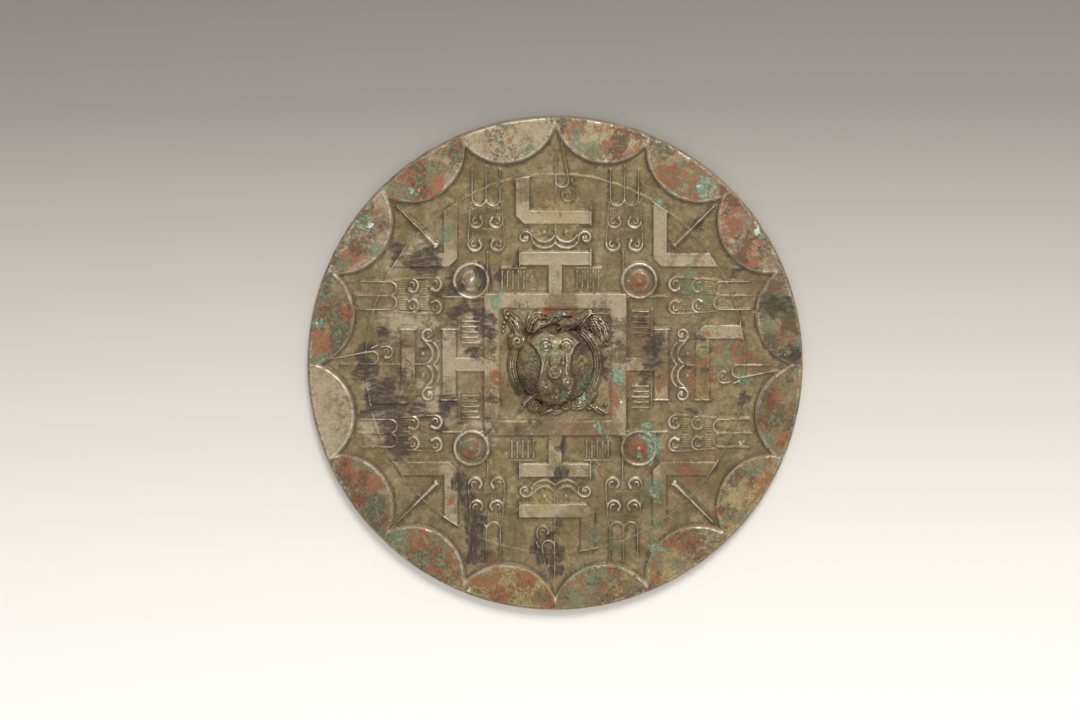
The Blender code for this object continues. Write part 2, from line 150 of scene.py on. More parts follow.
def lattice(x, y, seed):
    """Random values on whole numbers, blended between them."""
    table = np.random.default_rng(seed).random((64, 64))
    column = np.floor(x).astype(int)
    row = np.floor(y).astype(int)
    u = smooth(0, 1, x - column)
    v = smooth(0, 1, y - row)
    left, right = column % 64, (column + 1) % 64
    low, high = row % 64, (row + 1) % 64
    below = table[left, low] * (1 - u) + table[right, low] * u
    above = table[left, high] * (1 - u) + table[right, high] * u
    return below * (1 - v) + above * v


def mottle(points, size, seed):
    """Random spots of about this size in mm, from 0 to 1: three layers, each finer and weaker."""
    x, y = points[:, 0], points[:, 1]
    total = np.zeros(len(points))
    for layer in range(3):
        fine = 2.1 ** layer
        values = lattice(x / size * fine + 9.7 * layer, y / size * fine - 5.3 * layer, seed + layer)
        total += values / 2 ** layer
    return total / 1.75


# The drawn design: strokes are (points, half widths, rise)


def arc(x, y, radius, start, end, count):
    """Points along an arc between two angles in degrees."""
    turns = np.radians(np.linspace(start, end, count))
    return np.column_stack((x + radius * np.cos(turns), y + radius * np.sin(turns)))


def stroke(parts, width=1.0, rise=0.55, swell=None):
    """A raised thread through these points; swell lists its relative width, evenly spread along it."""
    points = np.vstack([np.asarray(part, float).reshape(-1, 2) for part in parts])
    apart = np.r_[True, np.linalg.norm(np.diff(points, axis=0), axis=1) > 1e-6]
    points = points[apart]
    shape = np.ones(len(points))
    if swell is not None:
        run = np.r_[0.0, np.cumsum(np.linalg.norm(np.diff(points, axis=0), axis=1))]
        shape = np.interp(run / run[-1], np.linspace(0, 1, len(swell)), swell)
    return points, width / 2 * shape, rise


def moved(strokes, dx=0.0, flip=1.0):
    """The same strokes mirrored about the upright axis if flip is -1, then shifted sideways."""
    return [(points * (flip, 1.0) + (dx, 0.0), widths, rise) for points, widths, rise in strokes]


def quarter_turned(points, quarters):
    """Points of the top side carried clockwise to another side."""
    turned = np.asarray(points, float)
    for _ in range(quarters % 4):
        turned = np.column_stack((turned[:, 1], -turned[:, 0]))
    return turned


def curl(x, y, radius, width):
    """A hook that opens towards the rim and ends in a bead, with a comma inside it."""
    bead = (x - radius * 0.72, y + radius * 0.5)
    hook = stroke(
        [arc(x, y, radius, -5, -90, 7), arc(x - 0.2, y, radius * 0.97, -98, -176, 7), [bead]],
        width, 0.62, [0.8, 1.15, 1.4, 1.3, 1.1, 1.35],
    )
    comma = stroke([arc(x + 0.35, y + 0.1, radius * 0.42, 60, -120, 6)], width * 0.72, 0.45, [0.7, 1.2, 0.9])
    return [hook, comma, stroke([[bead], [(bead[0] + 0.05, bead[1] + 0.12)]], 1.9, 0.78)]


def feather_half():
    """The right half of a feather, about its own axis."""
    bend = FEATHER_HALF / 2
    petal = stroke(
        [[(FEATHER_HALF, FEATHER_RIM)], arc(bend, FEATHER_BEND, bend - 0.1, 0, -165, 11)],
        0.85, 0.45, [0.6, 0.7, 0.75, 0.95, 1.5, 1.5],
    )
    outer = stroke([[(7.0, 75.0), (7.5, 70.0), (8.0, 64.0), (8.35, 58.5), (8.3, 55.9)]], 0.7, 0.35)
    strokes = [petal, outer] + curl(5.3, 55.7, 3.0, 1.3) + curl(4.7, 66.2, 2.9, 1.2)
    for i in range(6):
        x = 0.9 + 1.08 * i
        strokes.append(stroke([[(x, 59.4 - 0.3 * (i % 2)), (x, 62.4 + 0.4 * (i % 2))]], 0.46, 0.27))
        strokes.append(stroke([[(x, 69.6), (x, 73.0 - 0.2 * i)]], 0.46, 0.27))
    return strokes


def feathers():
    """Two feathers stand left and right of each L and T."""
    whole = []
    for flip in (-1.0, 1.0):
        whole += moved(feather_half(), 0.0, flip)
    whole.append(stroke([[(0.0, FEATHER_RIM + 1.5), (0.0, FEATHER_BEND - 0.5)]], 0.75, 0.4, [0.6, 1.0]))
    return moved(whole, -FEATHER_PLACE) + moved(whole, FEATHER_PLACE)


def scroll():
    """The paired waves between T and L, with a spiral at each end."""
    count = 22
    turn = np.radians(np.linspace(205, -190, count))
    radius = np.linspace(3.4, 1.15, count)
    spiral = np.column_stack((14.0 + radius * np.cos(turn), 58.7 + radius * np.sin(turn)))
    half = [
        stroke([arc(5.1, 61.9, 5.2, 208, 332, 13)], 1.35, 0.62, [0.8, 1.2, 1.0, 1.2, 0.8]),
        stroke([arc(5.1, 60.4, 6.5, 219, 321, 13)], 1.15, 0.5, [0.8, 1.1, 1.2, 1.1, 0.8]),
        stroke([spiral], 1.2, 0.62, [0.8, 1.1, 1.1, 1.0, 1.1]),
        stroke([[(14.0, 58.6), (14.1, 58.5)]], 2.0, 0.8),
        stroke([[(5.0, 61.3), (5.1, 61.2)]], 2.2, 0.95),
        stroke([[(9.9, 59.4), (11.2, 60.6), (12.6, 61.6)]], 0.9, 0.45),
    ]
    return moved(half) + moved(half, 0.0, -1.0)


def pendant():
    """The hanging thread and its hook in the middle of one side."""
    loop = stroke(
        [[(0.3, 99.6), (0.3, 86.0)], arc(3.2, 84.8, 2.9, 180, 360, 12), [(5.6, 88.5), (2.6, 103.6)]],
        0.85, 0.45, [0.6, 0.8, 1.0, 1.2, 1.1, 0.8, 0.6],
    )
    hook = stroke([[(8.1, 80.9)], arc(5.8, 78.0, 2.7, 5, -185, 14)], 1.05, 0.6, [0.7, 1.0, 1.2, 1.1, 1.3])
    return [
        loop,
        hook,
        stroke([[(3.3, 78.6), (3.4, 78.7)]], 1.8, 0.8),
        stroke([arc(6.0, 78.1, 1.2, 80, -140, 7)], 0.7, 0.4),
        stroke([[(7.6, 85.2), (8.7, 82.6)]], 0.9, 0.5),
        stroke([[(0.2, 99.0), (0.2, L_FOOT + BAND)]], 0.7, 0.35),
        stroke([[(0.2, L_FOOT), (0.2, 60.6)]], 0.8, 0.45),
    ]


def corner_lines():
    """Threads that carry the square's sides on past its corners."""
    edge = SQUARE_HALF - 1.6
    return [stroke([[(s * edge, SQUARE_HALF), (s * edge, T_TOP)]], 0.8, 0.4) for s in (-1, 1)]


def pin():
    """The tapered pin in each corner, with its small flared head."""
    return [
        stroke([[(55.3, 55.3), (73.2, 73.2)]], 1.9, 1.15, [1.2, 1.05, 0.9, 0.7, 0.45]),
        stroke([[(54.7, 55.5), (55.5, 54.7)]], 2.4, 1.2),
    ]


def arm_caps():
    """Thin lips that close the ends of the T, the L and the V."""
    arm = BAND - L_LEFT
    ends = [(-L_LEFT - 1.0, arm + 0.4), (V_CORNER - 0.8, V_CORNER + BAND + 0.6)]
    caps = [stroke([[(x, ring_at(x) - 0.2) for x in np.linspace(a, b, 5)]], 1.0, 0.85) for a, b in ends]
    for x, low in ((T_HALF - 0.4, T_TOP - BAND), (0.4 - T_HALF, T_TOP - BAND), (L_RIGHT - 0.4, L_FOOT)):
        caps.append(stroke([[(x, low - 0.5), (x, low + BAND + 0.6)]], 0.9, 0.95))
    return caps


def marks():
    """Rows of plain upright strokes beside the stem of a T, by turns longer and shorter."""
    strokes = []
    for left in (10.05, -24.55):
        for i in range(5):
            x = left + i * MARK_PITCH
            odd = i % 2
            between = [(x + 1.2, 38.2 + 2.6 * odd), (x + 1.25, 41.0 + 1.6 * odd)]
            strokes.append(stroke([[(x, MARK_FOOT + 0.7 * odd), (x, MARK_TOP)]], 0.95, 0.42))
            strokes.append(stroke([between], 0.6, 0.25))
        strokes.append(stroke([[(left - 0.8, 44.6), (left + 11.0, 44.5)]], 0.7, 0.36))
    return strokes


def ring_at(x):
    """How far up the design the raised ring stands at this distance from the middle."""
    return math.sqrt(ring_radius ** 2 - x ** 2)


def hoop(x, y, radius, width, rise, count):
    """A closed round thread."""
    return stroke([arc(x, y, radius, 0, 360, count)], width, rise)


def all_strokes():
    """Every raised thread on the field."""
    strokes = [hoop(0.0, 0.0, ring_radius, RING_WIDTH * 0.8, 0.3, 181)]
    for quarter in range(4):
        side = feathers() + scroll() + pendant() + corner_lines() + pin() + arm_caps() + marks()
        side.append(hoop(BOSS_PLACE, BOSS_PLACE, BOSS_RING_RADIUS, 1.9, 0.95, 41))
        for points, widths, rise in side:
            strokes.append((quarter_turned(points, quarter), widths, rise))
    return strokes


def band_outlines():
    """The flat bands of the Ts, Ls and Vs."""
    stem, foot, under = BAND / 2, SQUARE_HALF - 0.3, T_TOP - BAND
    t_band = [(-stem, foot), (stem, foot), (stem, under), (T_HALF, under)]
    t_band += [(T_HALF, T_TOP), (-T_HALF, T_TOP), (-T_HALF, under), (-stem, under)]
    top, inner = L_FOOT + BAND, BAND - L_LEFT
    l_band = [(NOTCH - L_LEFT, L_FOOT), (L_RIGHT, L_FOOT), (L_RIGHT, top), (inner, top)]
    l_band += [(inner, ring_at(inner)), (-L_LEFT, ring_at(L_LEFT)), (-L_LEFT, L_FOOT + NOTCH)]
    low, high = V_CORNER, V_CORNER + BAND
    v_band = [(low + NOTCH, low), (ring_at(low), low), (ring_at(high), high), (high, high)]
    v_band += [(high, ring_at(high)), (low, ring_at(low)), (low, low + NOTCH)]
    outlines = []
    for quarter in range(4):
        outlines += [quarter_turned(outline, quarter) for outline in (t_band, l_band, v_band)]
    return outlines


def square_outline(half):
    """A square about the knob."""
    return np.array([(half, half), (-half, half), (-half, -half), (half, -half)])


# Where the points of the fine mesh lie


def evenly(points, pitch, closed=False):
    """Points spread evenly along a line, with the line's direction at each."""
    line = np.vstack((points, points[:1])) if closed else points
    steps = np.linalg.norm(np.diff(line, axis=0), axis=1)
    run = np.r_[0.0, np.cumsum(steps)]
    count = max(2, int(round(run[-1] / pitch)) + 1)
    places = np.linspace(0, run[-1], count)
    spread = np.column_stack((np.interp(places, run, line[:, 0]), np.interp(places, run, line[:, 1])))
    index = np.clip(np.searchsorted(run, places, side="right") - 1, 0, len(steps) - 1)
    heading = np.diff(line, axis=0)[index] / steps[index][:, None]
    return spread, heading, places / run[-1]


def thread_points(strokes):
    """Points along the crest, the feet and the flanks of every stroke, crests first."""
    crests, feet, flanks = [], [], []
    for points, widths, _ in strokes:
        spread, heading, share = evenly(points, THREAD_PITCH)
        across = np.column_stack((-heading[:, 1], heading[:, 0]))
        run = np.r_[0.0, np.cumsum(np.linalg.norm(np.diff(points, axis=0), axis=1))]
        reach = np.interp(share, run / run[-1], widths)[:, None]
        crests.append(spread)
        feet += [spread - across * reach, spread + across * reach]
        if widths.max() > NARROW:
            flanks += [spread - across * reach * 0.6, spread + across * reach * 0.6]
        for end, way in ((0, -1), (-1, 1)):
            turn = np.radians((-50, 0, 50))
            ahead, aside = heading[end] * way, across[end]
            round_end = np.cos(turn)[:, None] * ahead + np.sin(turn)[:, None] * aside
            feet.append(spread[end] + reach[end] * round_end)
    return np.vstack(crests + feet + flanks)


def edge_points(outlines, offsets):
    """Points along both sides of the edges of flat outlines; a positive offset lies inside."""
    found = []
    for outline in outlines:
        area = np.cross(outline, np.roll(outline, -1, axis=0)).sum()
        inward = 1.0 if area > 0 else -1.0
        for a, b in zip(outline, np.roll(outline, -1, axis=0)):
            spread, heading, _ = evenly(np.array([a, b]), EDGE_PITCH)
            across = np.column_stack((-heading[:, 1], heading[:, 0])) * inward
            for offset in offsets:
                found.append(spread + across * offset)
    return np.vstack(found)


def lobe_points():
    """Points along the edge, the slope and the foot of the lobes."""
    found = []
    for lobe in range(LOBES):
        facing = math.pi / 2 + half_lobe * (2 * lobe + 1)
        x, y = lobe_centre * math.cos(facing), lobe_centre * math.sin(facing)
        for offset in (-1.0, -0.45, 0.0, 0.35, 0.7, 1.0, LOBE_BEVEL, LOBE_BEVEL + 0.4):
            radius = lobe_radius + offset
            middle = math.degrees(facing) + 180
            row = arc(x, y, radius, middle - 80, middle + 80, int(radius * 2.8 / EDGE_PITCH))
            turn = np.arctan2(row[:, 1], row[:, 0]) - facing
            turn = (turn + math.pi) % (2 * math.pi) - math.pi
            found.append(row[np.abs(turn) < half_lobe])
    return np.vstack(found)


def boss_points():
    """Rings of points on the four bosses."""
    found = []
    for quarter in range(4):
        x, y = quarter_turned([(BOSS_PLACE, BOSS_PLACE)], quarter)[0]
        for radius in np.linspace(0.5, BOSS_RADIUS + 0.1, 9):
            found.append(arc(x, y, radius, 0, 360, max(8, int(radius * 9)))[:-1])
        found.append(np.array([(x, y)]))
    return np.vstack(found)


def hex_grid(reach, pitch):
    """A slightly uneven hexagonal grid over the disc."""
    row_pitch = pitch * math.sqrt(3) / 2
    rows = int(reach / row_pitch) + 1
    x, y = np.meshgrid(np.arange(-reach, reach, pitch), np.arange(-rows, rows + 1) * row_pitch)
    x[::2] += pitch / 2
    grid = np.column_stack((x.ravel(), y.ravel()))
    return grid + np.random.default_rng(4).uniform(-0.12, 0.12, grid.shape) * pitch


def cell_keys(points, cell):
    """One whole number for the square cell that each point lies in."""
    index = np.floor(points / cell).astype(np.int64)
    return index[:, 0] * 100000 + index[:, 1]


def thinned(points, cell):
    """One point a cell, the first one."""
    _, first = np.unique(cell_keys(points, cell), return_index=True)
    return points[np.sort(first)]


def clear_of(grid, points, cell):
    """The grid points with none of the others in their cell or beside it."""
    taken = set()
    for dx in (-cell * 0.7, 0.0, cell * 0.7):
        for dy in (-cell * 0.7, 0.0, cell * 0.7):
            taken.update(cell_keys(points + (dx, dy), cell).tolist())
    keys = cell_keys(grid, cell).tolist()
    return grid[np.array([key not in taken for key in keys])]


# Heights


def depth_inside(points, outline):
    """Distance from the edge of an outline, positive inside it."""
    nearest = np.full(len(points), 1e9)
    inside = np.zeros(len(points), bool)
    x, y = points[:, 0], points[:, 1]
    for a, b in zip(outline, np.roll(outline, -1, axis=0)):
        run = b - a
        along = np.clip((points - a) @ run / (run @ run), 0, 1)
        nearest = np.minimum(nearest, np.linalg.norm(points - a - along[:, None] * run, axis=1))
        crosses = (a[1] > y) != (b[1] > y)
        with np.errstate(divide="ignore", invalid="ignore"):
            at = a[0] + (y - a[1]) * (b[0] - a[0]) / (b[1] - a[1])
        inside ^= crosses & (x < at)
    return np.where(inside, nearest, -nearest)


def band_relief(points, outline, rise, hollow):
    """Height of a flat band with a raised lip along its edge, and how far inside it a point lies."""
    depth = depth_inside(points, outline)
    height = rise * smooth(-0.12, 0.22, depth) - hollow * smooth(0.45, 1.3, depth)
    return height, depth


def thread_relief(points, strokes):
    """Height of the raised threads, and the share of the crest at each point."""
    height = np.zeros(len(points))
    crest = np.zeros(len(points))
    for line, widths, rise in strokes:
        reach = widths.max()
        within = (points > line.min(0) - reach) & (points < line.max(0) + reach)
        near = np.flatnonzero(within.all(axis=1))
        if not len(near):
            continue
        at = points[near]
        best = np.zeros(len(near))
        for a, b, wide_a, wide_b in zip(line, line[1:], widths, widths[1:]):
            run = b - a
            along = np.clip((at - a) @ run / (run @ run), 0, 1)
            reach_here = wide_a + (wide_b - wide_a) * along
            off = np.linalg.norm(at - a - along[:, None] * run, axis=1) / reach_here
            best = np.maximum(best, 1 - off * off)
        height[near] = np.maximum(height[near], rise * best ** 0.85)
        crest[near] = np.maximum(crest[near], best * min(1.0, rise / 0.5))
    return height, crest


def lobe_distance(points):
    """Distance from the centre of the nearest lobe's arc, and which lobe it is."""
    turn = np.arctan2(points[:, 1], points[:, 0]) - math.pi / 2 - half_lobe
    lobe = np.round(turn / (2 * half_lobe))
    facing = lobe * 2 * half_lobe + half_lobe + math.pi / 2
    centre = lobe_centre * np.column_stack((np.cos(facing), np.sin(facing)))
    return np.linalg.norm(points - centre, axis=1), lobe.astype(int) % LOBES


def off_boss(points):
    """Distance from the middle of the nearest boss, as a share of its radius."""
    x, y = np.abs(points[:, 0]) - BOSS_PLACE, np.abs(points[:, 1]) - BOSS_PLACE
    return np.hypot(x, y) / BOSS_RADIUS


def boss_relief(points):
    """Height of the four pointed bosses."""
    off = off_boss(points)
    dome = np.clip(1 - off ** 1.7, 0, 1) ** 0.62 * BOSS_HEIGHT * 0.8
    tip = BOSS_HEIGHT * 0.45 * ridge(off, 0.0, 0.3)
    groove = BOSS_HEIGHT * 0.16 * ridge(off, 0.62, 0.1)
    return np.where(off < 1, dome + tip - groove, 0.0)


class Surface:
    """The heights of the back, and where it is band, lobe, crest or edge."""

    def __init__(self, points, strokes, outlines):
        off_lobe, self.lobe = lobe_distance(points)
        self.on_lobe = 1 - smooth(lobe_radius - 0.1, lobe_radius + 0.3, off_lobe)
        slope = 1 - smooth(lobe_radius - 0.1, lobe_radius + LOBE_BEVEL + 0.1, off_lobe)
        self.bevel = smooth(lobe_radius, lobe_radius + 0.3, off_lobe) * smooth(0.05, 0.4, slope)
        lip = ridge(off_lobe, lobe_radius - 0.3, 0.42)
        from_middle = np.abs(points).max(axis=1)
        self.inner_wall = 1 - smooth(square_inner, square_inner + 0.9, from_middle)
        bands, band_edge = self.lay_bands(points, outlines)
        threads, crest = thread_relief(points, strokes)
        # The crest share makes thread tops pale: worn metal, and painted highlight
        self.crest = crest * (0.55 + 0.45 * smooth(0.34, 0.6, mottle(points, 7.0, 35)))
        self.edge = self.worn_and_lit_edges(points, band_edge, lip)
        raised = np.maximum.reduce([bands, threads, boss_relief(points)])
        worn = 0.72 + 0.5 * mottle(points, 14.0, 31)
        self.height = FIELD + (RIM_TOP - FIELD) * slope + 0.07 * lip * self.on_lobe
        self.height += raised * worn * (1 - self.on_lobe)
        self.height += 0.07 * (mottle(points, 5.0, 11) - 0.5) + 0.05 * (mottle(points, 1.6, 12) - 0.5)

    def lay_bands(self, points, outlines):
        """Heights of the flat bands and the square, and their rims; keeps where bands lie."""
        raised, edge, self.band = np.zeros((3, len(points)))
        for outline in outlines:
            rise, depth = band_relief(points, outline, BAND_RISE, 0.14)
            raised = np.maximum(raised, rise)
            self.band = np.maximum(self.band, smooth(-0.1, 0.2, depth))
            edge = np.maximum(edge, ridge(depth, 0.32, 0.3))
        square = np.minimum(
            depth_inside(points, square_outline(SQUARE_HALF)),
            -depth_inside(points, square_outline(square_inner)),
        )
        square_rise = SQUARE_RISE * smooth(-0.12, 0.25, square) - 0.15 * smooth(0.5, 1.5, square)
        self.band = np.maximum(self.band, smooth(-0.1, 0.2, square))
        edge = np.maximum(edge, ridge(square, 0.35, 0.32))
        return np.maximum(raised, square_rise), edge

    def worn_and_lit_edges(self, points, band_edge, lip):
        """How bright hands and cloths have worn the edges of bands, lobes, rim and bosses; part of
        this brightness is painted highlight, on the lobes' lips and slopes, the rim's edge and the bosses'
        tips.
        """
        uneven = smooth(0.38, 0.62, mottle(points, 8.0, 34))
        rim = ridge(np.hypot(points[:, 0], points[:, 1]), back_radius - 1.0, 0.6)
        off = off_boss(points)
        return np.maximum.reduce([
            0.5 * band_edge * uneven * (1 - self.inner_wall),
            lip,
            0.7 * rim,
            0.9 * ridge(off, 0.0, 0.26),
            0.55 * ridge(off, 0.8, 0.08) * uneven,
            0.5 * self.bevel,
        ])


# The knob: a beast wound round a dome, its feet in the square's corners


def over_knob(px, py):
    """Where a pixel of the photograph lies on the knob's top, which stands nearer to the camera."""
    return (px - PHOTO_CENTRE[0]) * PHOTO_SCALE, (PHOTO_CENTRE[1] + 2.0 - py) * PHOTO_SCALE


def drawn(places, width, rise, swell=None, place=on_photo):
    """A thread through places taken from the photograph."""
    return stroke([[place(px, py) for px, py in places]], width, rise, swell)


def bead(px, py, width, rise, place=on_photo):
    """A round bead at a place taken from the photograph."""
    x, y = place(px, py)
    return stroke([[(x - 0.06, y), (x + 0.06, y)]], width, rise)


def hump(points, x, y, wide, high, turn=0.0):
    """Share of the height of an oval hump, 1 on its top and 0 beyond its edge."""
    c, s = math.cos(math.radians(turn)), math.sin(math.radians(turn))
    dx, dy = points[:, 0] - x, points[:, 1] - y
    off = ((dx * c + dy * s) / wide) ** 2 + ((dy * c - dx * s) / high) ** 2
    return np.sqrt(np.clip(1 - off, 0, 1))


# The mask's outline on the dome, from the brow round by the right
MASK = [
    (530, 341), (537, 336), (546, 332), (556, 335), (566, 332), (573, 336), (579, 342), (573, 349),
    (570, 358), (569.5, 366), (571, 374), (574, 382), (572, 392), (565, 401), (556, 406), (547, 401),
    (540, 393), (538, 384), (541, 376), (543.5, 366), (543, 358), (540, 350), (535, 345),
]

# Knuckles of the beast's joints: place on the photograph, radius and height in mm
KNUCKLES = [(518.5, 339.5, 4.6, 5.2), (519.5, 341.0, 2.2, 5.6), (591.0, 388.0, 2.8, 3.2)]

# Body parts that lie round the dome: places on the photograph, widths and heights in mm
LIMBS = [
    ([(508, 311), (514, 318), (519, 328), (520, 337)], [4.6, 5.2, 5.6, 6.0], [2.0, 2.6, 3.2, 3.6]),
    ([(531, 328), (534, 319), (542, 315), (550, 318)], [4.0, 6.0, 7.0, 4.0], [2.2, 2.6, 2.4, 1.4]),
    ([(549, 329), (553, 321), (560, 315), (568, 313)], [3.0, 5.0, 5.6, 4.0], [1.4, 1.8, 2.0, 2.2]),
    ([(560, 331), (567, 325), (577, 320), (590, 311)], [5.4, 5.8, 5.0, 3.0], [6.2, 5.6, 4.4, 2.6]),
    ([(558, 327), (565, 322), (573, 322)], [3.4, 4.6, 3.6], [6.6, 7.0, 6.4]),
    ([(536, 330), (540, 323), (548, 322)], [3.0, 4.4, 3.0], [4.6, 4.6, 3.6]),
    ([(586, 322), (595, 320), (603, 327), (608, 340)], [6.0, 8.6, 8.0, 4.6], [2.8, 2.6, 2.2, 1.4]),
    ([(540, 390), (533, 395), (526, 401)], [3.6, 4.6, 3.0], [3.6, 3.2, 2.0]),
    ([(531, 397), (535, 404), (544, 406)], [5.0, 6.4, 4.6], [2.6, 2.6, 1.8]),
    ([(545, 404), (556, 407), (570, 402)], [5.0, 6.4, 5.0], [1.8, 1.4, 2.2]),
    ([(576, 402), (586, 400), (593, 392)], [6.0, 6.4, 4.6], [2.8, 3.4, 3.0]),
    ([(586, 402), (596, 406), (607, 411)], [4.6, 3.8, 2.6], [2.6, 2.0, 1.0]),
]


def limb_relief(points):
    """The limbs, ears and paws as long rounded forms with fine ribs along them."""
    height = np.zeros(len(points))
    for places, widths, rises in LIMBS:
        line = np.array([on_photo(px, py) for px, py in places])
        for i in range(len(line) - 1):
            run = line[i + 1] - line[i]
            along = np.clip((points - line[i]) @ run / (run @ run), 0, 1)
            off = np.linalg.norm(points - line[i] - along[:, None] * run, axis=1)
            half = (widths[i] + (widths[i + 1] - widths[i]) * along) / 2
            round_top = np.sqrt(np.clip(1 - (off / half) ** 2, 0, 1))
            ribs = 0.3 * np.cos(off * 2 * math.pi / 1.25) * smooth(0.2, 0.6, round_top)
            rise = rises[i] + (rises[i + 1] - rises[i]) * along
            height = np.maximum(height, rise * round_top + ribs)
    return height


def limb_strokes():
    """Bright worn edges, toes and claws on the limbs, their crests painted pale as worn metal and as
    highlights.
    """
    turn = np.radians(np.linspace(150, -420, 40))
    coil = np.linspace(4.1, 0.5, 40)
    joint_x, joint_y = on_photo(518.5, 339.5)
    spiral = np.column_stack((joint_x + coil * np.cos(turn), joint_y + coil * np.sin(turn)))
    toes = [(509, 312.5), (507, 316.5), (505.5, 321), (504.5, 325.5), (504.5, 330)]
    strokes = [stroke([spiral], 1.5, 0.55)] + [bead(px, py, 1.9, 1.5) for px, py in toes]
    strokes += [bead(510, 334.5, 1.7, 1.7), bead(521, 409, 1.6, 1.3), bead(606, 403, 1.9, 1.6)]
    strokes += [bead(584.5, 396.5, 2.0, 0.9), bead(589.5, 400.0, 2.2, 0.9), bead(593, 395, 1.6, 0.7)]
    lines = [
        ([(510, 311), (516, 315), (523, 321)], 0.9, 0.8),
        ([(511, 316), (516, 320), (520, 326)], 0.8, 0.6),
        ([(527, 326), (528.5, 317), (531, 312), (541, 311), (548, 313)], 1.0, 0.9),
        ([(533, 322), (538, 317), (546, 316)], 0.9, 0.7),
        ([(550, 329), (551, 320), (555, 314)], 0.9, 0.6),
        ([(556.5, 330), (559, 322), (565, 317.5), (572, 317.5), (577, 321)], 1.1, 1.0),
        ([(563, 313), (571, 314), (579, 317)], 1.3, 1.0),
        ([(579, 326), (585, 319), (592, 311)], 1.0, 0.9),
        ([(582, 328), (590, 331), (597, 342), (600, 352)], 0.9, 0.7),
        ([(590, 313), (599, 311.5), (608, 313)], 0.8, 0.7),
        ([(594, 317), (600, 327), (603, 340)], 0.9, 0.7),
        ([(600, 315), (606, 326), (608, 339)], 0.9, 0.6),
        ([(538, 391), (531, 396), (525, 401)], 1.2, 1.0),
        ([(527, 401), (524, 405), (522, 408)], 1.0, 0.8),
        ([(534, 403), (534, 399), (539, 399), (541, 404), (537, 407)], 0.9, 0.7),
        ([(542, 412), (547, 410), (552, 407.5)], 1.7, 1.6),
        ([(559, 404), (560, 399), (565, 397), (570, 400)], 1.0, 0.8),
        ([(562, 403), (565, 407), (570, 407)], 0.9, 0.7),
        ([(590, 402), (595, 406), (601, 412)], 1.1, 0.9),
        ([(597, 405), (602, 408), (608, 411)], 1.1, 0.9),
        ([(578, 407), (585, 408), (591, 406)], 1.1, 0.7),
    ]
    for i in range(5):
        lines.append(([(583 + 4.2 * i, 317), (587 + 4.4 * i, 325), (591 + 3.6 * i, 335 + 2 * i)], 0.6, 0.4))
    return strokes + [drawn(places, width, rise) for places, width, rise in lines]


def face_strokes():
    """The lines of the mask: its two long edges, brow, eyes, cheeks, nose, muzzle and tusks."""
    lines = [
        ([(531, 341), (537, 347), (541.5, 355), (543.5, 363)], 1.3, 0.75),
        ([(543.5, 362), (542.5, 370), (541, 377)], 1.5, 1.3),
        ([(578, 342), (573.5, 349), (570.5, 357), (569.5, 365), (571, 373), (573.5, 379)], 1.0, 0.6),
        ([(531, 340), (538, 336.5), (545, 333)], 1.1, 0.4),
        ([(541, 341), (545.5, 338), (551, 340), (553, 346)], 0.9, 0.5),
        ([(560, 346), (562, 340), (567, 338), (572, 341)], 0.9, 0.5),
        ([(551, 350), (548.5, 356), (548.5, 362)], 0.9, 0.4),
        ([(561.5, 350), (564, 356), (563.5, 363)], 0.9, 0.4),
        ([(567, 352), (567.5, 360), (566.5, 369), (568, 376)], 0.8, 0.45),
        ([(546, 351), (545, 356), (546, 361)], 0.8, 0.35),
        ([(549, 366), (549.5, 372), (553, 376.5), (558, 376.5), (561.5, 372), (561.5, 366)], 1.1, 0.45),
        ([(551, 369), (553, 365.5), (557, 365), (559.5, 368)], 0.9, 0.4),
        ([(553.5, 371), (555.5, 373), (557.5, 371)], 0.8, 0.6),
        ([(546, 377), (550, 381), (556, 383)], 0.8, 0.35),
        ([(557, 386), (557.5, 394), (557, 402)], 0.8, 0.3),
    ]
    strokes = [drawn(places, width, rise, None, over_knob) for places, width, rise in lines]
    for px, py in ((546.5, 345.5), (566.5, 345.5)):
        x, y = over_knob(px, py)
        strokes += [hoop(x, y, 2.0, 0.8, 0.7, 19), bead(px, py, 2.0, 1.3, over_knob)]
    for px, py in ((546.5, 386), (568.5, 381)):
        x, y = over_knob(px, py)
        strokes += [hoop(x, y, 1.9, 0.6, 0.3, 17), bead(px, py, 1.7, 0.8, over_knob)]
    return strokes


def coil_relief(points):
    """The wound body round the dome's foot, with its long ribs, and the spirals on its joints."""
    x, y = points[:, 0], points[:, 1]
    reach = np.hypot(x, y)
    middle = KNOB_RADIUS + 0.35 * COIL_WIDTH
    across = (reach - middle) / (COIL_WIDTH * 0.62)
    body = COIL_HEIGHT * np.sqrt(np.clip(1 - across ** 2, 0, 1))
    ribs = 0.38 * np.cos((reach - middle) * 2 * math.pi / 1.2)
    turn = np.degrees(np.arctan2(y, x)) % 360
    left = smooth(136, 146, turn) * (1 - smooth(208, 232, turn))
    right = np.maximum(smooth(310, 330, turn), 1 - smooth(46, 62, turn))
    height = (body + ribs * (body > 0.6)) * np.maximum(left, right)
    for px, py, radius, rise in KNUCKLES:
        joint_x, joint_y = on_photo(px, py)
        off = np.hypot(x - joint_x, y - joint_y)
        knuckle = rise * np.clip(1 - (off / radius) ** 2, 0, 1) ** 0.4
        height = np.maximum(height, np.where(off < radius, knuckle, 0.0))
    return height


def inside_mask(points):
    """Distance from the edge of the beast's mask, positive inside it."""
    return depth_inside(points, np.array([over_knob(px, py) for px, py in MASK]))


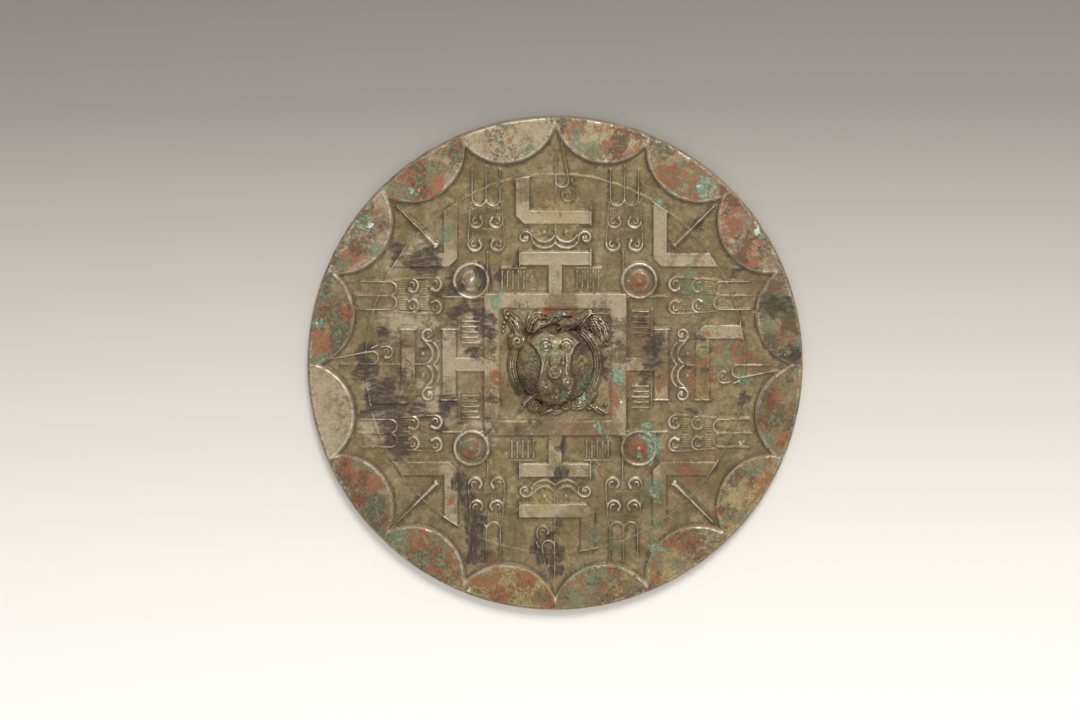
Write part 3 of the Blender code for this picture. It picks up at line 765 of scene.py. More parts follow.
def dome_relief(points):
    """The dome under the beast: rounded flanks left and right, the mask raised between them."""
    off = np.hypot(points[:, 0], points[:, 1]) / KNOB_RADIUS
    dome = KNOB_HEIGHT * 0.86 * np.clip(1 - np.clip(off, 0, 1) ** 2.4, 0, 1) ** 0.5
    mask = inside_mask(points)
    raised = 1.6 * smooth(-1.2, 0.9, mask)
    crease = -0.25 * ridge(mask, -1.2, 0.9)
    forms = [
        (541, 339, 4.0, 2.6, 1.1), (571, 339, 3.8, 2.4, 1.0), (556, 341, 3.0, 2.6, 0.8),
        (546.5, 346.5, 3.4, 3.2, -1.0), (566.5, 346.5, 3.4, 3.2, -1.0), (546.5, 345.5, 1.9, 1.9, 1.5),
        (566.5, 345.5, 1.9, 1.9, 1.5), (555.5, 357, 2.8, 4.6, 1.3), (548.0, 361, 1.5, 3.6, -0.8),
        (563.5, 361, 1.5, 3.6, -0.8), (555.3, 371, 3.5, 3.2, 2.3), (547, 386, 3.6, 3.4, 1.5),
        (568.5, 382, 3.6, 3.6, 1.4), (557.5, 391, 2.4, 5.0, -0.9), (557, 399, 5.0, 2.6, 0.7),
    ]
    for px, py, wide, high, rise in forms:
        x, y = over_knob(px, py)
        raised = raised + rise * hump(points, x, y, wide, high)
    return dome + (raised + crease) * smooth(1.0, 0.9, off)


class Knob:
    """The heights of the knob and of the square's floor round it."""

    def __init__(self, points):
        floor = 0.05 * (mottle(points, 5.0, 11) - 0.5)
        body = np.maximum.reduce([dome_relief(points), coil_relief(points), limb_relief(points)])
        lines, crest = thread_relief(points, limb_strokes())
        face, face_crest = thread_relief(points, face_strokes())
        on_dome = np.hypot(points[:, 0], points[:, 1]) < KNOB_RADIUS
        detail = np.where(on_dome, np.maximum(face, lines * 0.7), lines)
        lump = 0.7 * (mottle(points, 3.4, 41) - 0.5) + 0.75 * (mottle(points, 1.25, 42) - 0.5)
        eaten = -0.5 * smooth(0.58, 0.72, mottle(points, 2.2, 43))
        self.height = FIELD + floor + body + detail + (lump + eaten) * smooth(0.4, 2.0, body)
        # The crest share makes the beast's ridges pale: worn metal, and painted highlights
        uneven = 0.35 + 0.65 * smooth(0.38, 0.62, mottle(points, 2.4, 44))
        uneven = uneven * (0.3 + 0.8 * smooth(0.4, 1.1, detail))
        self.crest = uneven * np.where(on_dome, np.maximum(face_crest, crest * 0.7), crest)
        self.figure = smooth(0.3, 1.5, body)
        self.face = smooth(-0.6, 0.8, inside_mask(points)) * smooth(-16.0, -6.0, points[:, 1])


# From points to meshes


def faces_between(points):
    """Triangles between scattered points, facing up."""
    _, _, faces, _, _, _ = geometry.delaunay_2d_cdt([Vector(p) for p in points], [], [], 0, 1e-4)
    faces = np.array(faces)
    a, b, c = (points[faces[:, i]] for i in range(3))
    wrong = np.cross(b - a, c - a) < 0
    faces[wrong] = faces[wrong][:, ::-1]
    return faces


def sunk_from(height, faces, rounds):
    """How far each point lies below the average of those round it, after rounds of averaging."""
    pairs = np.vstack((faces[:, [0, 1]], faces[:, [1, 2]], faces[:, [2, 0]]))
    share = np.bincount(pairs.ravel(), minlength=len(height))
    level = height.copy()
    for _ in range(rounds):
        total = np.bincount(pairs[:, 0], level[pairs[:, 1]], len(height))
        total += np.bincount(pairs[:, 1], level[pairs[:, 0]], len(height))
        level = total / np.maximum(share, 1)
    return level - height


# Nicks in the rim: where they face and how wide they are, in degrees, and how deep, in mm
NICKS = [(33.0, 0.9, 0.7), (45.0, 0.7, 0.5), (66.0, 0.5, 0.5), (75.0, 0.5, 0.45), (-22.0, 0.8, 0.5)]

# Steps from the rim's top edge down to the polished face: inset and height, in mm
SIDE_STEPS = [(0.55, 4.78), (0.25, 4.3), (0.12, 3.3), (0.06, 2.2), (0.02, 1.1), (0.05, 0.3), (0.45, 0.0)]


def around(turn):
    """Points on a round of radius 1 at these angles."""
    return np.column_stack((np.cos(turn), np.sin(turn)))


def edge_ring(count):
    """The disc's corroded outline: its angle, and how much is bitten out of it, in mm."""
    turn = np.linspace(0, 2 * math.pi, count, endpoint=False)
    bite = 0.14 * mottle(around(turn) * 100, 4.0, 51)
    for facing, wide, deep in NICKS:
        off = (np.degrees(turn) - facing + 180) % 360 - 180
        bite += deep * ridge(off, 0.0, wide)
    return turn, bite


def closed_disc(count):
    """The rings of points down the disc's side, and the flat points of its polished face."""
    turn, bite = edge_ring(count)
    spread = around(turn)
    slope = EDGE_TAPER / RIM_TOP
    rings = []
    for step, (inset, level) in enumerate(SIDE_STEPS):
        pitted = 0.07 * mottle(spread * 115, 1.8, 60 + step) * (0 < level)
        radius = DISC_RADIUS - slope * level - inset * 0.6 - pitted - bite * (0.5 + 0.1 * level)
        rings.append(np.column_stack((spread * radius[:, None], np.full(count, level))))
    inner = hex_grid(DISC_RADIUS, 3.2)
    inner = inner[np.hypot(inner[:, 0], inner[:, 1]) < DISC_RADIUS - 3.0]
    return rings, inner, faces_between(np.vstack((inner, spread * DISC_RADIUS)))


def new_piece(name, points, faces, masks, material):
    """A mesh object from points in mm and triangles, with its finish as values on its points."""
    mesh = bpy.data.meshes.new(name)
    mesh.vertices.add(len(points))
    mesh.vertices.foreach_set("co", (points * MM).astype(np.float32).ravel())
    mesh.loops.add(faces.size)
    mesh.loops.foreach_set("vertex_index", faces.astype(np.int32).ravel())
    mesh.polygons.add(len(faces))
    mesh.polygons.foreach_set("loop_start", np.arange(0, faces.size, 3, dtype=np.int32))
    mesh.update(calc_edges=True)
    mesh.validate()
    mesh.polygons.foreach_set("use_smooth", np.ones(len(faces), bool))
    for mask, values in masks.items():
        layer = mesh.attributes.new(mask, "FLOAT", "POINT")
        layer.data.foreach_set("value", values.astype(np.float32))
    mesh.materials.append(material)
    piece = bpy.data.objects.new(name, mesh)
    bpy.context.scene.collection.objects.link(piece)
    return piece


# Where the burial left its crusts: pixel, reach in pixels, strength
PATCHES = {
    "stain": (0.5, [
        (700, 350, 62, 0.42), (690, 460, 50, 0.36), (420, 350, 60, 0.36), (480, 470, 40, 0.3),
        (560, 366, 34, 0.4), (524, 180, 7, 0.8), (522, 200, 6, 0.7), (705, 250, 8, 0.6),
        (420, 395, 10, 0.7), (530, 384, 14, 0.7), (563, 305, 16, 1.0), (623, 345, 13, 0.8),
        (621, 385, 12, 0.9), (492, 378, 12, 0.8), (491, 345, 9, 0.6), (491, 412, 10, 0.8),
        (520, 425, 11, 0.6), (548, 425, 12, 0.7), (580, 424, 12, 0.6), (606, 426, 10, 0.6),
        (519, 303, 8, 0.5), (604, 303, 8, 0.5), (583, 345, 9, 0.9), (577, 330, 8, 0.8),
        (440, 337, 9, 0.5), (463, 218, 7, 1.0), (463, 240, 7, 0.9), (640, 283, 14, 0.7),
        (472, 445, 15, 0.8), (640, 445, 14, 0.8), (470, 275, 12, 0.5), (545, 195, 14, 0.6),
        (585, 190, 12, 0.6), (640, 350, 30, 0.6), (695, 380, 26, 0.6), (385, 300, 20, 0.4),
        (600, 480, 18, 0.4), (560, 303, 14, 0.9), (410, 420, 24, 0.4), (580, 366, 12, 0.6),
        (520, 428, 14, 0.6), (560, 428, 16, 0.6), (600, 428, 14, 0.6), (425, 160, 14, 0.5),
        (355, 460, 10, 0.8), (640, 325, 14, 0.8), (668, 300, 12, 0.5), (760, 360, 14, 0.5),
        (587, 530, 14, 0.6), (690, 470, 20, 0.5),
    ]),
    "ochre": (0.4, [
        (715, 385, 54, 0.36), (690, 300, 34, 0.34), (560, 560, 44, 0.32), (700, 345, 22, 0.45),
        (720, 420, 22, 0.45), (640, 560, 14, 0.4), (500, 590, 14, 0.5), (590, 590, 18, 0.4),
        (460, 470, 14, 0.4), (730, 500, 20, 0.5), (600, 340, 12, 0.4), (540, 305, 14, 0.4),
        (690, 300, 16, 0.4), (560, 216, 24, 0.6), (545, 500, 22, 0.6), (583, 360, 12, 0.7),
        (527, 352, 9, 0.5), (545, 445, 16, 0.4), (430, 240, 14, 0.4), (513, 580, 11, 0.9),
        (747, 484, 13, 0.8), (772, 425, 9, 0.7), (763, 335, 8, 0.5),
    ]),
    "red": (0.25, [
        (700, 370, 56, 0.34), (690, 470, 40, 0.32), (610, 500, 30, 0.28), (430, 380, 40, 0.24),
        (428, 168, 5, 0.7), (417, 196, 5, 0.5), (540, 213, 5, 0.5), (548, 310, 7, 0.6),
        (560, 216, 4, 0.5), (638, 280, 9, 0.8), (640, 444, 8, 0.8), (471, 446, 9, 0.7),
        (600, 470, 10, 0.5), (650, 330, 8, 0.5), (703, 330, 9, 0.5), (735, 345, 12, 0.5),
        (745, 360, 9, 0.6), (480, 375, 8, 0.4), (437, 205, 8, 0.4), (612, 393, 4, 0.8),
        (617, 401, 5, 0.8), (614, 410, 4, 0.7), (583, 372, 7, 0.6), (463, 218, 6, 0.3),
        (472, 445, 10, 0.45), (641, 283, 10, 0.45), (640, 445, 10, 0.45), (570, 308, 9, 0.55),
        (545, 316, 6, 0.5), (498, 371, 4, 0.7), (496, 380, 5, 0.6), (530, 353, 6, 0.5),
        (578, 366, 6, 0.4), (419, 548, 8, 0.9), (450, 500, 10, 0.45), (425, 330, 8, 0.45),
        (690, 470, 14, 0.6), (695, 380, 16, 0.5), (585, 440, 6, 0.5), (470, 300, 8, 0.4),
        (660, 380, 12, 0.5), (715, 455, 12, 0.4), (610, 350, 7, 0.45), (440, 415, 8, 0.4),
        (357, 256, 11, 0.9), (348, 312, 10, 0.8), (365, 479, 12, 0.9), (689, 540, 12, 0.9),
        (719, 506, 7, 0.8), (772, 400, 8, 0.8), (779, 337, 9, 0.8), (671, 178, 13, 0.85),
        (513, 143, 6, 0.7), (724, 221, 7, 0.7), (568, 382, 3, 0.8), (628, 372, 5, 0.6),
        (632, 352, 5, 0.5), (575, 428, 6, 0.6), (531, 303, 4, 0.5), (415, 172, 14, 0.7),
        (590, 155, 9, 0.6), (497, 568, 9, 0.7), (613, 566, 8, 0.6), (488, 396, 5, 0.5),
    ]),
    "green": (0.3, [
        (700, 335, 56, 0.36), (650, 500, 44, 0.34), (585, 400, 22, 0.34), (470, 500, 40, 0.28),
        (471, 277, 9, 0.6), (468, 440, 8, 0.6), (690, 270, 10, 0.6), (725, 365, 12, 0.6),
        (610, 540, 10, 0.5), (660, 520, 9, 0.6), (590, 375, 10, 0.7), (530, 360, 10, 0.5),
        (560, 395, 12, 0.6), (700, 300, 12, 0.5), (497, 300, 10, 0.7), (617, 374, 7, 0.5),
        (650, 436, 11, 0.5), (657, 485, 10, 0.7), (595, 540, 12, 0.5), (690, 285, 14, 0.6),
        (715, 300, 11, 0.5), (745, 380, 14, 0.5), (730, 340, 12, 0.5), (655, 545, 7, 0.5),
        (556, 316, 8, 0.5), (585, 398, 7, 0.5), (512, 455, 8, 0.4), (365, 300, 8, 0.5),
        (560, 275, 9, 0.4), (490, 505, 14, 0.35), (448, 235, 9, 0.8), (505, 185, 10, 0.4),
        (420, 300, 10, 0.35), (650, 300, 8, 0.4), (545, 350, 12, 0.45), (590, 350, 8, 0.5),
        (468, 265, 9, 0.5), (570, 455, 8, 0.4), (505, 195, 8, 0.5), (526, 149, 6, 0.7),
        (508, 125, 7, 0.6), (380, 248, 8, 0.8), (326, 290, 10, 0.7), (376, 506, 12, 0.7),
        (773, 302, 11, 0.9), (577, 139, 7, 0.7), (620, 140, 8, 0.6), (659, 149, 9, 0.8),
        (755, 470, 9, 0.6), (654, 547, 8, 0.7), (440, 560, 14, 0.6), (590, 572, 12, 0.6),
        (425, 180, 12, 0.6), (655, 560, 9, 0.6),
    ]),
    "verdigris": (0.0, [
        (656, 446, 6, 0.8), (649, 457, 6, 0.7), (646, 428, 7, 0.8), (625, 437, 5, 0.6),
        (601, 424, 5, 0.6), (610, 431, 5, 0.6), (657, 490, 5, 0.7), (663, 545, 5, 0.6),
        (690, 280, 4, 0.5), (683, 293, 4, 0.5), (497, 299, 7, 0.6), (617, 374, 6, 0.8),
        (651, 434, 9, 0.65), (657, 478, 5, 0.6), (655, 500, 5, 0.55), (655, 545, 6, 0.7),
        (321, 325, 7, 0.7), (367, 221, 8, 0.8), (704, 188, 9, 0.85), (415, 192, 7, 0.65),
        (757, 230, 7, 0.6), (371, 215, 7, 0.5), (690, 290, 6, 0.5), (560, 316, 6, 0.5),
        (340, 290, 7, 0.5), (652, 440, 4, 0.8), (648, 451, 4, 0.7), (636, 455, 4, 0.6),
        (742, 378, 8, 0.45), (365, 303, 5, 0.5), (505, 455, 6, 0.4), (573, 571, 8, 0.6),
        (330, 355, 6, 0.45), (583, 396, 5, 0.5), (600, 460, 5, 0.4), (446, 232, 4, 0.6),
        (450, 200, 5, 0.4), (388, 200, 6, 0.5), (403, 537, 5, 0.7), (532, 588, 4, 0.6),
        (595, 470, 6, 0.5), (604, 430, 6, 0.5), (655, 203, 5, 0.6), (708, 323, 5, 0.5),
        (637, 372, 5, 0.4), (770, 305, 7, 0.4), (382, 249, 6, 0.5),
    ]),
    "soot": (0.15, [
        (685, 340, 48, 0.32), (410, 340, 54, 0.36), (400, 420, 40, 0.36), (600, 340, 20, 0.4),
        (375, 405, 14, 0.8), (395, 420, 14, 0.7), (420, 405, 12, 0.7), (440, 420, 12, 0.6),
        (455, 285, 10, 0.8), (365, 360, 10, 0.8), (480, 310, 8, 0.8), (505, 275, 9, 0.7),
        (603, 362, 6, 0.9), (606, 374, 6, 0.8), (645, 375, 12, 0.5), (558, 520, 7, 0.6),
        (556, 480, 7, 0.6), (585, 345, 7, 0.7), (520, 385, 7, 0.8), (428, 262, 16, 0.8),
        (385, 400, 20, 0.9), (475, 520, 10, 0.85), (474, 555, 9, 0.9), (560, 550, 9, 0.7),
        (488, 325, 9, 0.9), (700, 225, 8, 0.6), (487, 275, 11, 0.9), (400, 250, 10, 0.7),
        (368, 366, 14, 0.85), (400, 440, 17, 0.75), (445, 400, 12, 0.7), (497, 400, 8, 0.6),
        (655, 345, 13, 0.7), (530, 325, 7, 0.4), (458, 480, 9, 0.9), (610, 320, 8, 0.45),
        (690, 410, 10, 0.5), (516, 270, 8, 0.6), (370, 345, 10, 0.7), (475, 350, 9, 0.7),
        (460, 310, 11, 0.75), (535, 545, 8, 0.7), (440, 290, 10, 0.6), (465, 420, 9, 0.6),
        (415, 262, 9, 0.6), (624, 345, 6, 0.45), (647, 330, 7, 0.6), (772, 300, 9, 0.75),
        (775, 335, 8, 0.4), (385, 330, 12, 0.5), (565, 445, 7, 0.7), (563, 470, 8, 0.7),
        (742, 397, 7, 0.6), (735, 270, 9, 0.6), (640, 315, 8, 0.5), (618, 338, 5, 0.5),
        (700, 335, 8, 0.4), (555, 572, 7, 0.5), (490, 425, 12, 0.4), (535, 425, 12, 0.35),
        (466, 482, 8, 0.8), (468, 497, 8, 0.8), (470, 512, 9, 0.9), (473, 527, 9, 0.9),
        (476, 541, 9, 0.9), (486, 553, 8, 0.8), (546, 553, 11, 0.8), (549, 537, 7, 0.8),
        (560, 566, 7, 0.7), (525, 379, 5, 0.7), (533, 389, 6, 0.7), (582, 340, 5, 1.0),
        (574, 331, 6, 0.7), (589, 322, 5, 1.0), (518, 426, 7, 0.4), (556, 326, 6, 0.6),
    ]),
    "pit": (0.18, [
        (428, 262, 14, 0.5), (400, 380, 30, 0.45), (450, 330, 26, 0.4), (655, 340, 18, 0.5),
        (750, 250, 24, 0.3), (740, 235, 16, 0.35), (410, 165, 14, 0.35), (770, 420, 12, 0.5),
        (345, 245, 9, 0.5), (621, 325, 14, 0.6), (620, 355, 14, 0.6), (520, 304, 12, 0.45),
        (600, 304, 14, 0.45), (530, 426, 20, 0.38), (590, 426, 20, 0.3), (490, 350, 16, 0.5),
        (490, 400, 16, 0.5), (560, 370, 26, 0.4),
    ]),
    "pale": (0.0, [
        (617, 404, 2.5, 0.8), (743, 443, 2.5, 0.7), (468, 588, 2.5, 0.7), (415, 192, 4, 0.65),
        (757, 230, 4, 0.8), (585, 142, 4, 0.4), (562, 313, 3, 0.6), (586, 398, 3, 0.6),
        (321, 325, 3, 0.5), (655, 545, 3, 0.4), (698, 186, 3, 0.5), (372, 228, 4, 0.7),
        (425, 190, 3, 0.6), (470, 275, 3, 0.4), (652, 432, 3, 0.4), (785, 351, 3, 0.6),
        (707, 196, 3, 0.5), (512, 452, 2, 0.4), (632, 272, 3, 0.5), (644, 290, 3, 0.4),
        (584, 395, 2.5, 0.7), (569, 386, 2, 0.5), (629, 279, 2.5, 0.5), (633, 291, 2.5, 0.5),
        (647, 275, 2.5, 0.5), (640, 269, 2, 0.5), (465, 268, 2, 0.4), (481, 281, 2, 0.4),
        (634, 434, 2, 0.4), (649, 440, 2, 0.4),
    ]),
}

# Where bare metal shows between the bands, and where the film still hides it on them
RUBBED = [
    (410, 320, 26, 0.8), (450, 350, 26, 0.8), (430, 395, 26, 0.75), (480, 430, 22, 0.6), (520, 430, 22, 0.5),
    (420, 250, 18, 0.6), (610, 300, 20, 0.4), (600, 250, 14, 0.3), (530, 300, 30, 0.5), (480, 330, 20, 0.7),
    (375, 420, 20, 0.6), (660, 340, 18, 0.4), (720, 330, 16, 0.4), (610, 345, 14, 0.7), (638, 280, 17, 0.7),
    (601, 328, 12, 0.9), (471, 278, 16, 0.5), (395, 270, 12, 0.5), (560, 430, 18, 0.3), (372, 385, 12, 0.6),
]
FILMED = [
    (672, 362, 24, 0.75), (703, 372, 22, 0.8), (690, 470, 26, 0.9), (664, 502, 26, 0.8), (425, 470, 24, 0.6),
    (448, 502, 22, 0.5), (587, 530, 24, 1.0), (576, 510, 13, 0.9), (563, 471, 11, 0.9), (587, 471, 10, 0.6),
    (515, 427, 17, 0.8), (547, 427, 17, 0.8), (580, 427, 17, 0.8), (607, 427, 15, 0.8), (408, 342, 18, 0.5),
    (408, 388, 18, 0.6), (382, 392, 16, 0.7), (450, 222, 22, 0.8), (412, 262, 13, 0.8), (556, 455, 10, 0.5),
    (523, 195, 8, 0.7), (451, 385, 12, 0.5), (700, 200, 10, 0.3), (697, 257, 9, 0.4), (560, 303, 10, 0.5),
    (735, 345, 8, 0.5), (492, 345, 9, 0.4), (622, 350, 12, 0.4),
]

# How each of the 16 rim panels looks, counter-clockwise from the one left of the top
LOBE_FINISH = [
    {"bare": 0.95, "red": 0.3, "green": 0.35, "stain": 0.15, "pit": 0.4},
    {"bare": 0.75, "red": 0.65, "green": 0.55, "stain": 0.5, "pit": 0.4},
    {"bare": 0.8, "red": 0.4, "green": 0.45, "stain": 0.5, "pit": 0.5},
    {"bare": 0.55, "red": 0.6, "green": 0.6, "stain": 0.6, "pit": 0.45},
    {"bare": 0.9, "red": 0.1, "green": 0.2, "ochre": 0.3, "stain": 0.3, "pit": 0.15},
    {"bare": 0.55, "red": 0.5, "green": 0.45, "soot": 0.2, "stain": 0.8, "pit": 0.45},
    {"bare": 0.45, "red": 0.5, "green": 0.6, "ochre": 0.5, "stain": 0.7, "pit": 0.35},
    {"bare": 0.5, "red": 0.6, "green": 0.3, "ochre": 0.8, "stain": 0.7, "pit": 0.35},
    {"bare": 0.4, "red": 0.5, "green": 0.5, "ochre": 0.6, "stain": 0.6, "pit": 0.35},
    {"bare": 0.5, "red": 0.6, "green": 0.5, "ochre": 0.6, "stain": 0.7, "pit": 0.4},
    {"bare": 0.55, "red": 0.4, "green": 0.4, "ochre": 0.7, "stain": 0.5, "pit": 0.5},
    {"bare": 0.45, "red": 0.5, "green": 0.5, "ochre": 0.6, "stain": 0.7, "pit": 0.6},
    {"bare": 0.35, "red": 0.4, "green": 0.5, "soot": 0.5, "stain": 0.9, "pit": 0.55},
    {"bare": 0.85, "red": 0.55, "green": 0.25, "soot": 0.2, "stain": 0.5, "pit": 0.7},
    {"bare": 0.6, "red": 0.6, "green": 0.4, "stain": 0.6, "pit": 0.5},
    {"bare": 0.85, "red": 0.5, "green": 0.5, "ochre": 0.4, "stain": 0.3, "pit": 0.5},
]


def patch_cover(points, patches, seed):
    """Strongest of the patches at each point, their edges drawn out unevenly."""
    drift = np.column_stack((mottle(points, 6.0, seed), mottle(points, 6.0, seed + 7))) - 0.5
    at = points + 7.0 * drift
    cover = np.zeros(len(points))
    for px, py, reach, strength in patches:
        off = np.linalg.norm(at - on_photo(px, py), axis=1) / (reach * PHOTO_SCALE)
        cover = np.maximum(cover, 1.3 * strength * np.exp(-0.7 * off ** 2))
    return cover


def burial_masks(points, lobe=None, on_lobe=None):
    """How much of each crust lies on the back at each point, from 0 to 1."""
    off_axis = np.abs(points[:, 1]) - np.abs(points[:, 0])
    masks = {"upright": smooth(-2.0, 2.0, off_axis)}
    for number, (crust, (everywhere, patches)) in enumerate(PATCHES.items()):
        seed = 70 + 20 * number
        spread = everywhere * smooth(0.3, 0.75, mottle(points, 24.0, seed + 3))
        cover = np.maximum(spread, patch_cover(points, patches, seed))
        if lobe is not None:
            share = np.array([finish.get(crust, 0.1) for finish in LOBE_FINISH])[lobe]
            share = share * (0.3 + smooth(0.36, 0.64, mottle(points, 9.0, seed + 5)))
            strong = cover * smooth(0.25, 0.5, cover)
            cover = cover * (1 - on_lobe) + np.maximum(share, strong) * on_lobe
        masks[crust] = np.clip(cover, 0, 1.15)
    return masks


# The two pieces


def back_points(strokes, outlines, top_edge, ring):
    """Points of the back: dense on the drawn design, an open grid between, the rim's ring last."""
    squares = [square_outline(SQUARE_HALF), square_outline(square_inner)]
    features = np.vstack((
        thinned(lobe_points(), 0.36),
        thinned(thread_points(strokes), 0.17),
        edge_points(outlines + squares, (-0.14, 0.2, 0.55, 1.3)),
        boss_points(),
    ))
    grid = hex_grid(DISC_RADIUS, OPEN_PITCH)
    points = np.vstack((features, clear_of(grid, features, CLEAR_CELL)))
    reach = np.hypot(points[:, 0], points[:, 1])
    under_knob = np.abs(points).max(axis=1) < square_inner - 0.6
    spare = under_knob & (np.random.default_rng(5).random(len(points)) < 0.9)
    points = thinned(points[(reach < top_edge - 0.4) & ~spare], 0.15)
    return np.vstack((points, ring * top_edge))


def nibbled(points, turn, bite, top_edge):
    """The points of the back with those near the rim drawn in where it is bitten."""
    reach = np.hypot(points[:, 0], points[:, 1])
    facing = np.arctan2(points[:, 1], points[:, 0]) % (2 * math.pi)
    inward = np.interp(facing, np.r_[turn, 2 * math.pi], np.r_[bite, bite[0]])
    return points * (1 - inward * smooth(top_edge - 4, top_edge, reach) / reach.clip(1))[:, None]


def bare_metal_and_lit_slopes(points, surface):
    """How bare the metal is on the bands and the rim panels; the panels' slopes are made pale as a painted
    highlight.
    """
    bare_lobe = np.array([finish["bare"] for finish in LOBE_FINISH])[surface.lobe]
    worn = 0.3 + 0.8 * mottle(points, 12.0, 33) + 0.5 * mottle(points, 4.0, 36)
    worn_and_lit = np.maximum.reduce([
        surface.band * 0.95,
        bare_lobe * surface.on_lobe * 0.82,
        # painted highlight: the rim panels' slopes are made pale like bare metal
        surface.bevel * 0.9,
        patch_cover(points, RUBBED, 190),
    ])
    filmed = patch_cover(points, FILMED, 195) * surface.band
    return np.clip(worn_and_lit * worn * (1 - 0.9 * filmed), 0, 1)


def back_finish(points, surface):
    """The masks of the back: every crust, bare metal, and crests and edges made pale by wear and by painted
    highlight.
    """
    masks = burial_masks(points, surface.lobe, surface.on_lobe)
    for crust in ("red", "green", "verdigris"):
        masks[crust] = masks[crust] - 0.7 * surface.edge * (1 - surface.on_lobe)
    crusted = np.clip(masks["green"] + masks["red"], 0, 1) * surface.on_lobe
    masks["bare"] = bare_metal_and_lit_slopes(points, surface)
    masks["pit"] = masks["pit"] + 0.03 * surface.on_lobe
    smoky = smooth(0.5, 0.7, mottle(points, 7.0, 38))
    masks["soot"] = masks["soot"] + 0.22 * surface.band * smoky
    masks["stain"] = np.maximum(masks["stain"], 0.5 * surface.inner_wall * surface.band)
    for crust in PATCHES:
        masks[crust] = masks[crust] - 0.5 * surface.crest
    # Crests and edges are painted pale: worn metal, and painted highlight
    masks["crest"] = np.clip(np.maximum(surface.crest * 0.9, surface.edge), 0, 1)
    return masks, crusted


def disc(material):
    """The disc with its lobed rim and drawn field, one closed mesh."""
    strokes, outlines = all_strokes(), band_outlines()
    top_edge = back_radius - 0.9
    count = int(2 * math.pi * top_edge / EDGE_PITCH)
    turn, bite = edge_ring(count)
    points = back_points(strokes, outlines, top_edge, around(turn))
    faces = faces_between(points)
    surface = Surface(points, strokes, outlines)
    points = nibbled(points, turn, bite, top_edge)
    inside = np.abs(points).max(axis=1) < square_inner - 0.1
    masks, crusted = back_finish(points, surface)
    lump = 0.6 * mottle(points, 2.8, 21) + 0.4 * mottle(points, 1.4, 24) - 0.5
    height = surface.height - 0.9 * inside + crusted * 0.42 * lump
    # How far each point is sunk; the material darkens these hollows with soil and painted shade
    masks["hollow"] = np.clip(sunk_from(height, faces, 2) / 0.14, -1, 1)
    top = np.column_stack((points, height))
    rings, under, under_faces = closed_disc(count)
    base = len(top)
    levels = [np.arange(base - count, base)]
    levels += [np.arange(count) + base + count * step for step in range(len(rings))]
    sides = [band_faces(above, below) for above, below in zip(levels, levels[1:])]
    under_index = np.r_[np.arange(len(under)) + base + count * len(rings), levels[-1]]
    below = under_index[under_faces][:, ::-1]
    everything = np.vstack([top] + rings + [np.column_stack((under, np.zeros(len(under))))])
    faces = np.vstack([faces] + sides + [below])
    more = side_masks(everything[base:])
    masks = {name: np.r_[values, more[name]] for name, values in masks.items()}
    return new_piece("mirror_disc", everything, faces, masks, material)


def band_faces(above, below):
    """Triangles between two closed rings of points, the first one higher, facing outwards."""
    next_above, next_below = np.roll(above, -1), np.roll(below, -1)
    first = np.column_stack((above, below, next_below))
    second = np.column_stack((above, next_below, next_above))
    return np.vstack((first, second))


def side_masks(points):
    """The finish of the tapered side and of the polished face: plainer, with thin even patina, and a pale
    band along the side's top that is worn metal and painted highlight.
    """
    facing = np.arctan2(points[:, 1], points[:, 0])
    unrolled = points[:, :2] + points[:, 2:] * around(facing)
    spot = mottle(unrolled, 9.0, 91)
    below = points[:, 2] < 0.01
    none = np.zeros(len(points))
    return {
        "stain": 0.3 + 0.3 * spot,
        "green": 0.2 + 0.35 * spot,
        "red": 0.45 - 0.3 * spot,
        "verdigris": 0.3 * spot,
        "pit": 0.3 + 0.2 * spot,
        "soot": 0.3 + 0.2 * mottle(unrolled, 14.0, 93),
        "pale": none + 0.05,
        "ochre": 0.25 + 0.2 * mottle(unrolled, 11.0, 94),
        "bare": np.where(below, 0.75, 0.6) * (0.5 + mottle(unrolled, 16.0, 95)),
        # painted highlight, with wear, along the top of the side
        "crest": 0.3 * smooth(3.5, 4.8, points[:, 2]),
        "hollow": none,
        "upright": none,
    }


# How much more of each crust the beast holds than the field
BEAST_CRUST = {"stain": 0.42, "green": 0.16, "ochre": 0.06, "soot": 0.2, "pit": 0.35}


def knob_finish(points, form, hollow):
    """The masks of the beast: dark with soot and painted shade in its hollows, worn bright with painted
    highlights on its limbs, and bare on its face.
    """
    masks = burial_masks(points)
    masks["hollow"] = hollow
    # Raised parts clear of the hollows are made pale: worn metal, and painted highlight
    raised_worn_and_lit = smooth(0.15, 0.9, -hollow) * form.figure
    patchy = smooth(0.4, 0.62, mottle(points, 4.0, 97))
    worn = 0.75 * form.crest + (0.2 + 0.45 * patchy) * raised_worn_and_lit
    masks["crest"] = np.clip(worn, 0, 1)
    for crust, share in BEAST_CRUST.items():
        masks[crust] = masks[crust] + share * form.figure - 0.5 * masks["crest"]
    for crust in ("stain", "pit", "soot"):
        masks[crust] = masks[crust] - 0.22 * form.face
    # Soot and painted shade: the beast's hollows are darkened
    masks["soot"] = masks["soot"] + 0.5 * hollow * form.figure
    masks["bare"] = np.maximum.reduce([
        0.55 * form.figure * mottle(points, 6.0, 96),
        patch_cover(points, RUBBED, 190) * (0.4 + 0.9 * mottle(points, 3.0, 98)),
        0.6 * form.face,
    ])
    return masks


